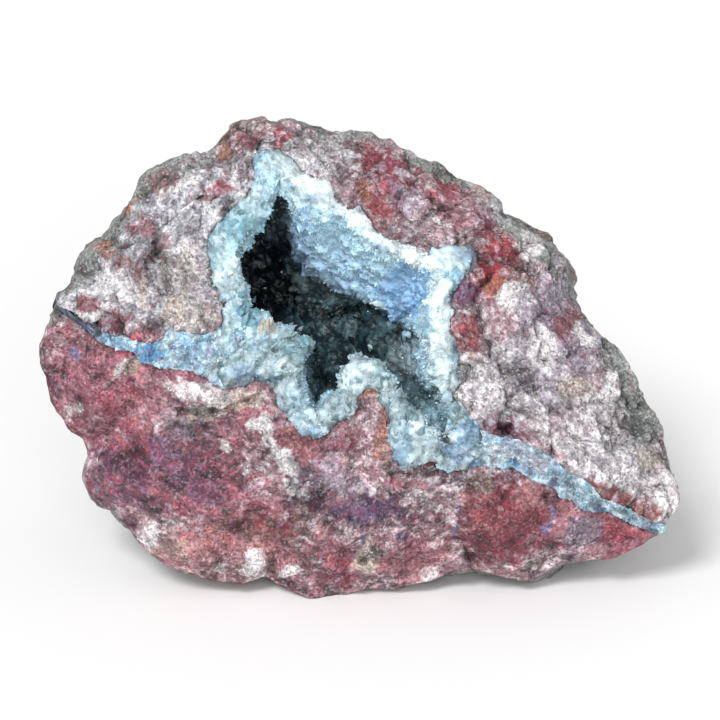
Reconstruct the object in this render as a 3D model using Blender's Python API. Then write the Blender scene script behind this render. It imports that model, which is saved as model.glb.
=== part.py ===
"""Half of a geode: a rough lump of host rock broken open on a hollow lined with crystals.

The face is worked out in a picture frame, in millimetres: u to the right, v up along the face and
w out of the face. The stone stands with its face leaning back by LEAN_DEG. In the finished model
+X is to the right, -Y in front of the face and +Z up, in metres.
"""
import itertools
import math
import random

import bmesh
import bpy
import numpy as np
from mathutils import Matrix, Vector
from mathutils.bvhtree import BVHTree

MM = 0.001

# How the stone stands
LEAN_DEG = 22.0
FLOOR_CUT_MM = 58.5
PLACE_MM = (-0.1, -33.75)

# The broken face drops towards the stone's edge
EDGE_DROP_MM = 15.0
EDGE_POWER = 4

# The skin round the back: its depth, its middle, its rows of vertices and how it loses the edge's corners
BACK_DEPTH_MM = 60.0
BACK_MIDDLE_MM = (2.0, -2.0)
HEART_MM = (0.0, 0.0, -30.0)
SKIN_ROWS = 12
SKIN_FULLNESS = 0.8
SKIN_EVEN_COLUMNS = 3
SKIN_EVEN_BY = 0.4
SKIN_ROUGH_BY = 0.2

# The hollow and the crust on it: a wall bows from the rim to the shoulder, then turns into the floor
HOLLOW_FLOOR_MM = (-15.0, 13.0, -46.0)
CRUST_FLOOR_MM = 6.0
CRUST_WALL_MM = 5.0
CRUST_BELOW_SHOULDER_MM = 3.0
WALL_BOW = 1.35
POCKET_WALL_SHARES = (0.0, 0.3, 0.65, 1.0)
POCKET_FLOOR_SHARES = (0.35, 0.7)
LINING_WALL_SHARES = (0.0, 0.14, 0.32, 0.52, 0.75, 1.0)
LINING_FLOOR_SHARES = (0.3, 0.6, 0.82)
FACE_SHARES = (0.07, 0.17, 0.29, 0.42, 0.55, 0.68, 0.8, 0.91, 1.0)

# The rim band: how far its inner and outer edges lie below the face, and its swell (share, rise)
OPENING_SINK_MM = 1.0
RIM_SINK_MM = 0.4
RIM_SWELL_MM = ((0.35, 0.6), (0.75, 0.4))

# Clearance between rock and crust: at the rim, on the way down, and under the floor
GAP_MM = 0.45
SHOULDER_GAP_MM = 0.1
LIFT_MM = 1.1

# Vertices along each of the thirteen stretches that every outline is divided into
SPANS = (5, 10, 7, 7, 11, 5, 5, 5, 8, 4, 5, 4, 8)

# Outer edge of the stone, clockwise from its top, one line for each stretch
OUTLINE_MM = (
    ((-20.5, 55.0), (-17.5, 55.5), (-9.0, 53.5)),
    ((0.0, 53.5), (7.0, 51.5), (15.0, 46.5), (19.0, 46.0), (26.0, 41.0), (32.0, 38.0), (35.5, 32.5)),
    ((42.5, 28.5), (47.5, 23.5), (48.5, 19.5), (47.5, 14.5), (50.5, 12.0), (55.5, 6.5)),
    ((61.5, 1.5), (64.0, -4.0), (68.0, -11.0), (71.5, -17.5), (72.0, -21.5), (74.0, -29.0)),
    ((75.0, -33.0), (70.5, -40.0), (64.5, -44.5), (56.5, -47.0), (47.0, -47.5), (41.0, -51.5),
     (32.5, -51.0), (26.0, -49.0), (19.0, -51.0)),
    ((9.5, -53.5), (1.5, -54.5)),
    ((-3.0, -55.3), (-6.0, -56.0), (-13.5, -55.5)),
    ((-18.5, -53.0), (-21.5, -51.0), (-26.0, -52.5), (-32.0, -52.0)),
    ((-39.5, -50.5), (-46.5, -47.5), (-51.0, -43.5), (-56.0, -37.0), (-61.0, -34.0), (-64.5, -28.5),
     (-63.0, -20.5), (-67.5, -17.0)),
    ((-71.5, -11.5), (-73.0, -5.0), (-75.0, 1.5)),
    ((-73.0, 8.0), (-71.0, 14.5), (-67.5, 18.0)),
    ((-64.0, 24.0), (-59.0, 28.5), (-55.5, 33.5), (-53.5, 36.5)),
    ((-50.0, 42.5), (-44.0, 46.5), (-36.0, 48.0), (-32.5, 51.0), (-28.5, 54.5), (-23.5, 56.0)),
)

# Where the rock meets the crust on the face; the wedge of rock points up between stretches 6 and 7
CONTACT_MM = (
    ((-19.5, 49.5), (-15.5, 46.0), (-11.0, 42.5), (-7.0, 41.0)),
    ((-6.0, 37.0), (-2.5, 34.5), (0.5, 35.5), (3.5, 30.0), (10.5, 26.5), (16.5, 24.0), (23.0, 26.5)),
    ((26.5, 23.5), (23.5, 18.0), (21.5, 12.5), (21.0, 8.0)),
    ((23.0, 2.5), (22.5, -5.0), (21.5, -8.5), (24.5, -12.5)),
    ((27.5, -16.0), (28.5, -20.5), (26.0, -25.0), (21.5, -25.5), (17.0, -24.0), (13.0, -25.0)),
    ((10.5, -26.0), (8.6, -24.0), (8.0, -21.0), (7.4, -16.5), (6.6, -12.5), (5.0, -8.5)),
    ((2.5, -6.5), (0.0, -8.5), (-1.0, -12.5), (-4.5, -14.5), (-8.0, -17.5)),
    ((-10.5, -19.0), (-13.5, -17.0), (-16.5, -13.5), (-19.5, -9.0)),
    ((-20.5, -6.5), (-23.5, -5.5), (-28.0, -6.5)),
    ((-31.5, -6.5), (-32.5, -0.5)),
    ((-32.0, 6.0), (-31.5, 9.5), (-32.5, 15.0), (-34.5, 21.0)),
    ((-35.5, 26.5), (-33.5, 30.5)),
    ((-29.0, 35.5), (-25.5, 38.5), (-24.0, 42.5), (-25.0, 45.5), (-23.5, 47.5)),
)

# Edge of the hollow itself, inside the pale rim band
OPENING_MM = (
    ((-18.5, 41.5), (-16.5, 38.0), (-14.0, 34.5)),
    ((-8.0, 33.0), (-3.5, 32.0), (1.5, 27.5), (9.5, 23.5), (14.5, 22.0)),
    ((17.5, 18.0), (17.0, 12.5), (15.0, 8.0)),
    ((16.0, 2.5), (17.5, -1.5), (17.0, -5.5), (19.0, -8.5), (21.0, -12.0)),
    ((22.5, -16.5), (21.0, -18.5), (18.0, -17.0), (14.5, -14.5)),
    ((11.5, -10.5), (9.0, -7.0), (7.0, -3.0), (4.0, -0.5)),
    ((0.5, 0.5), (-1.0, -0.5), (-3.5, -3.5), (-4.0, -7.5), (-7.0, -9.5)),
    ((-10.5, -12.5), (-12.5, -10.5), (-13.5, -6.5), (-14.5, -2.5), (-13.0, 0.5)),
    ((-11.0, 3.0), (-14.5, 5.5), (-19.5, 7.5)),
    ((-21.5, 10.0), (-25.5, 11.0)),
    ((-27.0, 14.0), (-27.5, 20.5)),
    ((-28.5, 24.0), (-26.0, 27.5)),
    ((-22.5, 33.0), (-20.5, 37.5)),
)

# Where the hollow's wall turns into its floor: u, v, w at the start of each stretch
SHOULDER_MM = (
    (-20.0, 34.5, -20.0), (-9.5, 21.0, -26.0), (11.5, 10.0, -24.0), (8.0, 4.0, -24.0),
    (15.0, -9.5, -14.0), (6.5, -8.0, -17.0), (-2.0, -4.0, -21.0), (-9.5, -9.0, -18.0),
    (-14.0, 2.5, -22.0), (-23.5, 8.5, -26.0), (-29.5, 14.0, -28.0), (-30.5, 24.5, -28.0),
    (-25.0, 32.0, -26.0),
)

# Lumps and hollows of the face: u, v, radius, height (negative: sunk)
FACE_LUMPS_MM = (
    (-49.0, 21.0, 17.0, 5.0), (-39.0, 10.0, 8.0, 3.0), (-52.0, 25.5, 7.0, 2.5), (-43.0, 31.0, 7.0, 2.5),
    (-31.0, 42.0, 8.0, 2.5), (-3.5, 40.0, 6.0, 3.5), (7.0, 43.0, 8.0, -2.5), (13.0, 37.0, 6.0, 2.5),
    (22.5, 32.5, 6.0, 2.0), (30.0, 18.0, 6.0, -1.5), (42.0, 11.0, 7.0, 2.5), (42.5, 2.0, 7.0, 3.0),
    (34.0, -6.0, 13.0, 4.5), (39.0, -12.5, 4.5, -3.5), (34.0, -16.5, 3.0, -2.5), (59.0, -23.5, 13.0, 3.5),
    (46.0, -14.0, 8.0, 2.0), (3.0, -14.0, 5.0, 1.5), (-32.5, -9.5, 8.0, 2.5), (34.0, -37.5, 12.0, 4.0),
    (2.0, -49.0, 5.0, 3.5), (26.0, -46.0, 3.0, -4.0), (-38.0, -47.0, 6.0, 2.5), (-24.0, -48.0, 4.0, 2.5),
    (-60.0, -2.0, 9.0, 2.5),
)
LUMP_FALL = 1.7
# Grain, height and seed of the bumps on the face and on the skin
FACE_GRAIN_MM = ((13.0, 2.4, 1), (6.0, 1.9, 2), (3.5, 0.9, 3))
SKIN_GRAIN_MM = ((21.0, 5.5, 4), (9.0, 3.2, 5))
# The lower half of the face is broken off lower than the upper: the step's height and its width
LEDGE_STEP_MM = 3.0
LEDGE_WIDTH_MM = 3.0

# Veins: u, v, full width at each point of the route, from outside to the hollow
LEFT_VEIN_MM = (
    (-69.0, 11.0, 1.6), (-65.0, 9.0, 2.0), (-60.5, 6.0, 2.8), (-54.5, 3.5, 3.6), (-49.0, 1.0, 4.8),
    (-42.0, 0.5, 8.0), (-33.5, 0.0, 11.0), (-25.5, 1.0, 9.0),
)
RIGHT_VEIN_MM = (
    (69.0, -39.5, 2.2), (64.5, -37.5, 3.0), (58.5, -34.5, 3.6), (53.0, -32.0, 6.4), (48.0, -28.5, 6.6),
    (42.5, -25.0, 7.2), (35.5, -21.5, 7.4), (28.5, -20.5, 8.4), (23.0, -21.0, 6.0),
)
VEIN_DEPTH_MM = 4.0
VEIN_SINK_MM = 0.5
VEIN_SIDES = 8
VEIN_TIP_MM = 1.0

# Small crystals of the lining: height and lean of their tips as shares of their width
DRUSE_RISE = 0.36
DRUSE_LEAN = 0.08
DRUSE_SPREAD = (0.7, 1.3)
DRUSE_SMALLEST_MM2 = 4.0
DRUSE_SEED = 7

# Large crystals on the hollow's lower left edge: u, v, radius, length, lean to the right, lean up
BIG_CRYSTALS_MM = (
    (-24.5, 11.5, 2.4, 5.0, 0.3, 0.5), (-20.0, 8.0, 1.9, 6.0, 0.1, 0.8), (-15.5, 5.5, 2.3, 5.5, 0.6, 0.5),
    (-12.5, 3.0, 2.1, 5.0, 0.8, 0.2), (-27.5, 27.0, 1.8, 4.0, 0.7, 0.0), (13.0, -13.0, 2.0, 4.5, -0.4, 0.5),
    (1.5, -3.0, 1.9, 4.0, -0.2, 0.6), (19.5, -11.0, 1.9, 4.5, -0.7, 0.2),
)
CRYSTAL_ROOT_MM = 2.2
CRYSTAL_POINT_SHARE = 0.38
CRYSTAL_TAPER = 0.92

# Large odd multipliers that scramble a lattice corner into its own number
LATTICE_PRIMES = (374761393, 668265263, 974634777, 1103515245, 1274126177)

# Heights clear of the stone: where rays start, and the open top of the vein grooves
ABOVE_MM = 100.0
GROOVE_TOP_MM = 20.0
GROUND_M = (0.3, 0.3, 0.04)

ROCK_COLOUR = (0.38, 0.20, 0.21, 1.0)
CRUST_COLOUR = (0.55, 0.71, 0.80, 1.0)


def dense_stretches(stretches, steps=6):
    """Points close together along each stretch of a closed outline, on a Catmull-Rom curve."""
    points = [Vector(p) for stretch in stretches for p in stretch]
    count = len(points)
    curves = []
    first = 0
    for stretch in stretches:
        curve = []
        for i in range(first, first + len(stretch)):
            a, b, c, d = (points[(i + k) % count] for k in (-1, 0, 1, 2))
            for step in range(steps):
                t = step / steps
                curve.append(0.5 * (2 * b + (c - a) * t + (2 * a - 5 * b + 4 * c - d) * t * t
                                    + (3 * b - a - 3 * c + d) * t ** 3))
        first += len(stretch)
        curve.append(points[first % count])
        curves.append(np.array([tuple(p) for p in curve]))
    return curves


def outline_ring(stretches):
    """One point for each column of the mesh, evenly spaced along each stretch."""
    ring = []
    for curve, span in zip(dense_stretches(stretches), SPANS):
        length = np.concatenate([[0], np.cumsum(np.linalg.norm(np.diff(curve, axis=0), axis=1))])
        for step in range(span):
            at = length[-1] * step / span
            ring.append([np.interp(at, length, curve[:, 0]), np.interp(at, length, curve[:, 1])])
    return np.array(ring)


def corner_ring(corners):
    """One point for each column, blended from one corner to the next with an S-shaped ease."""
    ring = []
    for i, span in enumerate(SPANS):
        a = np.array(corners[i])
        b = np.array(corners[(i + 1) % len(corners)])
        for step in range(span):
            t = step / span
            ring.append(a + (b - a) * (t * t * (3 - 2 * t) + t) / 2)
    return np.array(ring)


OUTLINE = outline_ring(OUTLINE_MM)
CONTACT = outline_ring(CONTACT_MM)
OPENING = outline_ring(OPENING_MM)
SHOULDER = corner_ring(SHOULDER_MM)
COLUMNS = len(OUTLINE)
ANGLE_ORDER = np.argsort(np.arctan2(OUTLINE[:, 1], OUTLINE[:, 0]))
OUTLINE_ANGLES = np.arctan2(OUTLINE[:, 1], OUTLINE[:, 0])[ANGLE_ORDER]
OUTLINE_RADII = np.linalg.norm(OUTLINE, axis=1)[ANGLE_ORDER]


def edge_share(flat):
    """How far points of the face lie from the middle, 1 at the stone's edge."""
    angles = np.arctan2(flat[:, 1], flat[:, 0])
    reach = np.interp(angles, OUTLINE_ANGLES, OUTLINE_RADII, period=2 * math.pi)
    return np.minimum(np.hypot(flat[:, 0], flat[:, 1]) / reach, 1.0)


def lattice_values(cells, seed):
    """A number from -1 to 1 for each cell corner, always the same for the same corner and seed."""
    mask = 0xFFFFFFFF
    key = (cells @ np.array(LATTICE_PRIMES[:3]) + seed * LATTICE_PRIMES[3]) & mask
    key = ((key ^ (key >> 13)) * LATTICE_PRIMES[4]) & mask
    key = key ^ (key >> 16)
    return key / 2 ** 31 - 1.0


def bumps(points, grain, seed):
    """Smooth bumps from -1 to 1 with the given grain: corner values of a cubic lattice, eased between."""
    place = points / grain
    cells = np.floor(place).astype(np.int64)
    ease = place - cells
    ease = ease * ease * (3 - 2 * ease)
    total = np.zeros(len(points))
    for corner in itertools.product((0, 1), repeat=3):
        weight = np.prod(np.where(np.array(corner) == 1, ease, 1 - ease), axis=1)
        total += weight * lattice_values(cells + np.array(corner), seed)
    return total


def ledge_line(u):
    """Height v of the step between the upper and the lower half of the face, along both veins."""
    line = np.array(LEFT_VEIN_MM + RIGHT_VEIN_MM[::-1])
    return np.interp(u, line[:, 0], line[:, 1])


def face_height(flat):
    """Height w of the broken face: a dome that falls off at the edge, with lumps, a step and grain."""
    height = -EDGE_DROP_MM * edge_share(flat) ** EDGE_POWER
    for lump_u, lump_v, radius, rise in FACE_LUMPS_MM:
        distance = np.hypot(flat[:, 0] - lump_u, flat[:, 1] - lump_v) / radius
        height += rise * np.exp(-LUMP_FALL * distance ** 2)
    below = (ledge_line(flat[:, 0]) - flat[:, 1]) / LEDGE_WIDTH_MM
    height -= LEDGE_STEP_MM * np.clip(below + 0.5, 0.0, 1.0)
    points = np.column_stack([flat, np.zeros(len(flat))])
    for grain, rise, seed in FACE_GRAIN_MM:
        height += rise * bumps(points, grain, seed)
    return height


def ring_inward(ring):
    """Unit vectors that point from a clockwise ring to its inside, in the plane of the face."""
    along = np.roll(ring[:, :2], -1, axis=0) - np.roll(ring[:, :2], 1, axis=0)
    along /= np.maximum(np.linalg.norm(along, axis=1, keepdims=True), 1e-6)
    return np.stack([along[:, 1], -along[:, 0]], axis=1)


def wall_rings(rim, rim_height, shoulder, shares, insets=(0.0, 0.0)):
    """Rings down the hollow's wall, from a rim outline to the shoulder that belongs to it.

    The insets pull the rings inwards at the rim and at the shoulder.
    """
    rings = []
    for share in shares:
        flat = rim + (shoulder[:, :2] - rim) * share ** WALL_BOW
        flat = flat + (insets[0] + (insets[1] - insets[0]) * share) * ring_inward(flat)
        height = rim_height + (shoulder[:, 2] - rim_height) * share
        rings.append(np.column_stack([flat, height]))
    return rings


def pocket_shoulder(lift=0.0):
    """The shoulder grown away from the hollow's floor pole by the crust's thickness."""
    away = SHOULDER[:, :2] - np.array(HOLLOW_FLOOR_MM[:2])
    away /= np.linalg.norm(away, axis=1, keepdims=True)
    height = SHOULDER[:, 2] - CRUST_BELOW_SHOULDER_MM + lift
    return np.column_stack([SHOULDER[:, :2] + away * CRUST_WALL_MM, height])


def floor_rings(shoulder, pole, shares):
    """Rings from the shoulder to the pole, curved like the bottom of a bowl."""
    rings = []
    for share in shares:
        flat = shoulder[:, :2] + (np.array(pole[:2]) - shoulder[:, :2]) * share
        height = shoulder[:, 2] + (pole[2] - shoulder[:, 2]) * math.sin(share * math.pi / 2)
        rings.append(np.column_stack([flat, height]))
    return rings


def pole_ring(point, columns):
    """A ring whose points all lie on one spot."""
    return np.tile(np.array(point, float), (columns, 1))


def mould_sphere(rings):
    """A sphere primitive whose rows of vertices, from front pole to back pole, are laid on the rings."""
    rows = len(rings) - 1
    columns = len(rings[0])
    bm = bmesh.new()
    bmesh.ops.create_uvsphere(bm, u_segments=columns, v_segments=rows, radius=1.0)
    row_of = bm.verts.layers.int.new("row")
    for vert in bm.verts:
        row = round(math.acos(max(-1.0, min(1.0, vert.co.z))) / math.pi * rows)
        column = -round(math.atan2(vert.co.y, vert.co.x) / (2 * math.pi) * columns) % columns
        vert.co = Vector(rings[row][column])
        vert[row_of] = row
    return bm


def rock_rings():
    """Rows of the stone: the pocket for the crust, the broken face, then the skin round the back."""
    contact_height = face_height(CONTACT)
    pole = (HOLLOW_FLOOR_MM[0], HOLLOW_FLOOR_MM[1], HOLLOW_FLOOR_MM[2] - CRUST_FLOOR_MM)
    wall = wall_rings(CONTACT, contact_height, pocket_shoulder(), POCKET_WALL_SHARES, (0.0, -GAP_MM))
    floor = floor_rings(wall[-1], pole, POCKET_FLOOR_SHARES)
    rings = [pole_ring(pole, COLUMNS)] + floor[::-1] + wall[::-1]
    for share in FACE_SHARES:
        flat = CONTACT + (OUTLINE - CONTACT) * share
        rings.append(np.column_stack([flat, face_height(flat)]))
    edge = rings[-1]
    middle = np.array(BACK_MIDDLE_MM)
    window = range(-SKIN_EVEN_COLUMNS, SKIN_EVEN_COLUMNS + 1)
    evened = np.mean([np.roll(edge, step, axis=0) for step in window], axis=0)
    for row in range(1, SKIN_ROWS):
        turn = row / SKIN_ROWS
        angle = turn * math.pi / 2
        source = edge + (evened - edge) * min(turn / SKIN_EVEN_BY, 1.0)
        flat = middle + (source[:, :2] - middle) * math.cos(angle) ** SKIN_FULLNESS
        height = source[:, 2] - (source[:, 2] + EDGE_DROP_MM) * turn - BACK_DEPTH_MM * math.sin(angle)
        rings.append(roughened_skin(np.column_stack([flat, height]), min(turn / SKIN_ROUGH_BY, 1.0)))
    rings.append(pole_ring((*BACK_MIDDLE_MM, -EDGE_DROP_MM - BACK_DEPTH_MM), COLUMNS))
    return rings


def roughened_skin(ring, strength):
    """The skin's ring pushed in and out from the stone's heart by large and small nodules."""
    out = ring - np.array(HEART_MM)
    out /= np.linalg.norm(out, axis=1, keepdims=True)
    push = np.zeros(len(ring))
    for grain, rise, seed in SKIN_GRAIN_MM:
        push += rise * bumps(ring, grain, seed)
    return ring + out * (push * strength)[:, None]


def crust_rings():
    """Rows of the crust: lining floor and wall, rim band, then the outside that lies in the pocket."""
    rim_height = face_height(OPENING)
    contact_height = face_height(CONTACT)
    inner = wall_rings(OPENING, rim_height - OPENING_SINK_MM, SHOULDER, LINING_WALL_SHARES)
    bottom = floor_rings(inner[-1], HOLLOW_FLOOR_MM, LINING_FLOOR_SHARES)
    rings = [pole_ring(HOLLOW_FLOOR_MM, COLUMNS)] + bottom[::-1] + inner[::-1]
    edge = CONTACT + GAP_MM * ring_inward(CONTACT)
    for share, rise in RIM_SWELL_MM:
        flat = OPENING + (edge - OPENING) * share
        height = rim_height + (contact_height - rim_height) * share + rise
        rings.append(np.column_stack([flat, height]))
    outer = wall_rings(CONTACT, contact_height - RIM_SINK_MM, pocket_shoulder(LIFT_MM),
                       POCKET_WALL_SHARES, (GAP_MM, SHOULDER_GAP_MM))
    pole = (HOLLOW_FLOOR_MM[0], HOLLOW_FLOOR_MM[1], HOLLOW_FLOOR_MM[2] - CRUST_FLOOR_MM + LIFT_MM)
    under = floor_rings(outer[-1], pole, POCKET_FLOOR_SHARES)
    return rings + outer + under + [pole_ring(pole, COLUMNS)], len(bottom) + len(inner)


def grow_druse(bm, lining_rows):
    """Raises a small flat-faced crystal on each larger face of the lining, each leaning its own way."""
    dice = random.Random(DRUSE_SEED)
    row_of = bm.verts.layers.int["row"]
    lining = [f for f in bm.faces if max(v[row_of] for v in f.verts) < lining_rows]
    lining = [f for f in lining if len(f.verts) == 4 and f.calc_area() > DRUSE_SMALLEST_MM2]
    normals = [f.normal.copy() for f in lining]
    widths = [min(e.calc_length() for e in f.edges) for f in lining]
    tips = bmesh.ops.poke(bm, faces=lining, offset=0.0)["verts"]
    for tip, normal, width in zip(tips, normals, widths):
        lean = Vector([dice.uniform(-DRUSE_LEAN, DRUSE_LEAN) for _ in range(3)])
        tip.co += (normal * DRUSE_RISE * dice.uniform(*DRUSE_SPREAD) + lean) * width


def vein_rings(route, face, grow=0.0, open_to=None):
    """Rows of a bar that follows a route over the face, with a pole at each end.

    A groove grows by the gap on its sides and bottom, and is open upwards to a height clear of the rock.
    """
    half = math.pi / VEIN_SIDES
    points = [Vector(p[:2]) for p in route]
    rings, middles = [], []
    for i, (u, v, width) in enumerate(route):
        along = points[min(i + 1, len(points) - 1)] - points[max(i - 1, 0)]
        along.normalize()
        side = Vector((along.y, -along.x))
        upper = face.ray_cast(Vector((u, v, ABOVE_MM)), Vector((0, 0, -1)))[0].z - VEIN_SINK_MM
        rise = VEIN_DEPTH_MM / 2
        middles.append(upper - rise)
        ring = []
        for k in range(VEIN_SIDES):
            angle = -(k + 0.5) * 2 * half
            spot = points[i] + side * (width / 2 + grow) * math.cos(angle) / math.cos(half)
            height = upper - rise + (rise + grow) * math.sin(angle) / math.cos(half)
            if open_to is not None and math.sin(angle) > 0:
                height = open_to + math.sin(angle)
            ring.append((spot.x, spot.y, height))
        rings.append(np.array(ring))
    ends = []
    for ring, near, far in ((rings[0], 0, 1), (rings[-1], -1, -2)):
        out = points[near] - points[far]
        out.normalize()
        tip = ring.mean(axis=0) + np.array((out.x, out.y, 0.0)) * (VEIN_TIP_MM + grow * 2)
        tip[2] = middles[near]
        ends.append(pole_ring(tip, VEIN_SIDES))
    return [ends[0]] + rings + [ends[1]]


def big_crystal(lining, u, v, radius, length, lean_u, lean_v):
    """A six-sided crystal with a point, rooted in the crust at (u, v)."""
    axis = Vector((lean_u, lean_v, 1.0)).normalized()
    seat = lining.ray_cast(Vector((u, v, ABOVE_MM)), Vector((0, 0, -1)))[0]
    point = (length + CRYSTAL_ROOT_MM) * CRYSTAL_POINT_SHARE
    body = length + CRYSTAL_ROOT_MM - point
    bm = bmesh.new()
    bmesh.ops.create_cone(bm, cap_ends=True, segments=6, radius1=radius, radius2=radius * CRYSTAL_TAPER,
                          depth=body)
    top = [max(bm.faces, key=lambda face: face.calc_center_median().z)]
    tip = bmesh.ops.poke(bm, faces=top)["verts"][0]
    tip.co.z += point
    turn = Vector((0, 0, 1)).rotation_difference(axis).to_matrix().to_4x4()
    root = seat - axis * CRYSTAL_ROOT_MM
    bm.transform(Matrix.Translation(root) @ turn @ Matrix.Translation((0, 0, body / 2)))
    return bm


def stand_up():
    """Turns the picture frame into the model's: the face leans back, and millimetres become metres."""
    lean = math.radians(LEAN_DEG)
    to_model = Matrix(((1, 0, 0, PLACE_MM[0]),
                       (0, math.sin(lean), -math.cos(lean), PLACE_MM[1]),
                       (0, math.cos(lean), math.sin(lean), FLOOR_CUT_MM),
                       (0, 0, 0, 1)))
    return Matrix.Scale(MM, 4) @ to_model


def add_object(name, bm, collection, material=None):
    """Makes a mesh object of a finished shape and puts it in its collection."""
    bmesh.ops.recalc_face_normals(bm, faces=bm.faces)
    if bm.calc_volume(signed=True) < 0:
        bmesh.ops.reverse_faces(bm, faces=bm.faces)
    mesh = bpy.data.meshes.new(name)
    bm.to_mesh(mesh)
    bm.free()
    mesh.transform(stand_up())
    piece = bpy.data.objects.new(name, mesh)
    collection.objects.link(piece)
    if material:
        mesh.materials.append(material)
    return piece


def add_tool(name, bm, collection):
    """Makes an object that only shapes another one, kept out of renders."""
    tool = add_object(name, bm, collection)
    tool.hide_render = True
    tool.display_type = 'WIRE'
    return tool


def combine(piece, tool, operation):
    """Adds an exact Boolean of a tool to a piece."""
    modifier = piece.modifiers.new(tool.name, 'BOOLEAN')
    modifier.operation = operation
    modifier.solver = 'EXACT'
    modifier.object = tool


def make_material(name, colour, roughness):
    """A plain Principled material."""
    material = bpy.data.materials.new(name)
    material.use_nodes = True
    shader = material.node_tree.nodes["Principled BSDF"]
    shader.inputs["Base Color"].default_value = colour
    shader.inputs["Roughness"].default_value = roughness
    shader.inputs["Metallic"].default_value = 0.0
    return material


def build_rock(parts, tools):
    """The host rock with its pocket, the grooves of both veins and the flat patch it stands on."""
    shape = mould_sphere(rock_rings())
    face = BVHTree.FromBMesh(shape)
    rock = add_object("host_rock", shape, parts, make_material("host_rock", ROCK_COLOUR, 0.85))
    for name, route in (("left_vein_groove", LEFT_VEIN_MM), ("right_vein_groove", RIGHT_VEIN_MM)):
        groove = mould_sphere(vein_rings(route, face, GAP_MM, open_to=GROOVE_TOP_MM))
        combine(rock, add_tool(name, groove, tools), 'DIFFERENCE')
    ground = bmesh.new()
    bmesh.ops.create_cube(ground, size=1.0)
    below = Matrix.Translation((0.0, 0.0, -GROUND_M[2] / 2))
    ground.transform(stand_up().inverted() @ below @ Matrix.Diagonal((*GROUND_M, 1.0)))
    combine(rock, add_tool("ground", ground, tools), 'DIFFERENCE')
    return face


def build_crust(parts, tools, face):
    """The crystal crust: a lined cup with its rim band, both veins and the large crystals, in one solid."""
    rings, lining_rows = crust_rings()
    shape = mould_sphere(rings)
    grow_druse(shape, lining_rows)
    lining = BVHTree.FromBMesh(shape)
    crust = add_object("crystal_crust", shape, parts, make_material("crystal_crust", CRUST_COLOUR, 0.3))
    for name, route in (("left_vein", LEFT_VEIN_MM), ("right_vein", RIGHT_VEIN_MM)):
        combine(crust, add_tool(name, mould_sphere(vein_rings(route, face)), tools), 'UNION')
    for number, spec in enumerate(BIG_CRYSTALS_MM, start=1):
        combine(crust, add_tool(f"big_crystal_{number}", big_crystal(lining, *spec), tools), 'UNION')


def main():
    """Clears the scene and builds the two solids."""
    for old in list(bpy.data.objects):
        bpy.data.objects.remove(old, do_unlink=True)
    parts = bpy.data.collections.new("geode_half")
    tools = bpy.data.collections.new("geode_half_tools")
    bpy.context.scene.collection.children.link(parts)
    bpy.context.scene.collection.children.link(tools)
    face = build_rock(parts, tools)
    build_crust(parts, tools, face)


main()
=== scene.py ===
"""Dense visual of half a geode: its broken host rock and the crystal crust in and around its hollow.

Shapes are worked out in a picture frame, in millimetres: u to the right, v up along the broken face
and w out of the face. The stone stands with its face leaning back by LEAN_DEG. In the row frame +X is
to the right, -Y in front of the face and +Z up, in metres.
"""
import itertools
import logging
import math
from dataclasses import dataclass
from enum import Enum
from typing import Iterator, Sequence

import bpy
import numpy as np
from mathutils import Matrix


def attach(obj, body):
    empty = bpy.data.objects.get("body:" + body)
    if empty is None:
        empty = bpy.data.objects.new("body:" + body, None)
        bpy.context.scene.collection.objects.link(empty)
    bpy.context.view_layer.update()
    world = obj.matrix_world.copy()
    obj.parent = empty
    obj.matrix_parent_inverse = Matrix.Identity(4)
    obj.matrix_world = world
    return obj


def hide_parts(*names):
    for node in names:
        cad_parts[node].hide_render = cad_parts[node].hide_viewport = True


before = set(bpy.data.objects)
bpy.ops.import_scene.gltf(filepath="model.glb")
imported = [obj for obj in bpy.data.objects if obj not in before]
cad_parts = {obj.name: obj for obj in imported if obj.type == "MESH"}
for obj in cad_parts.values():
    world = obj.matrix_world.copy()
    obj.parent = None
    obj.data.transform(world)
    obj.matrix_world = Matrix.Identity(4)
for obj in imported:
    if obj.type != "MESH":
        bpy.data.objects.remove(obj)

LOG = logging.getLogger("geode_half")
MM = 0.001

Tree = bpy.types.NodeTree
Socket = bpy.types.NodeSocket
# A noise's layers: the grain in millimetres, the rise and the seed of each
Layers = Sequence[tuple[float, float, int]]

# How the stone stands
LEAN_DEG = 22.0
FLOOR_CUT_MM = 58.5
PLACE_MM = (-0.1, -33.75)

# The broken face drops towards the stone's edge
EDGE_DROP_MM = 15.0
EDGE_POWER = 4

# The skin round the back
BACK_DEPTH_MM = 60.0
BACK_MIDDLE_MM = (2.0, -2.0)
HEART_MM = (0.0, 0.0, -30.0)
SKIN_FULLNESS = 0.8
SKIN_EVEN_COLUMNS = 3
SKIN_EVEN_BY = 0.4
SKIN_ROUGH_BY = 0.2

# The hollow and the crust on it
HOLLOW_FLOOR_MM = (-15.0, 13.0, -46.0)
CRUST_FLOOR_MM = 6.0
CRUST_WALL_MM = 5.0
CRUST_BELOW_SHOULDER_MM = 3.0
WALL_BOW = 1.35

# The rim band's height over the face, from the hollow's edge outwards: (share, rise)
RIM_PROFILE_MM = ((0.0, -1.2), (0.1, 0.1), (0.3, 1.0), (0.6, 1.1), (0.88, 0.4), (1.0, -0.5))

# Columns along each of the thirteen stretches that every outline is divided into, times DENSE
SPANS = (5, 10, 7, 7, 11, 5, 5, 5, 8, 4, 5, 4, 8)
DENSE = 6

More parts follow.
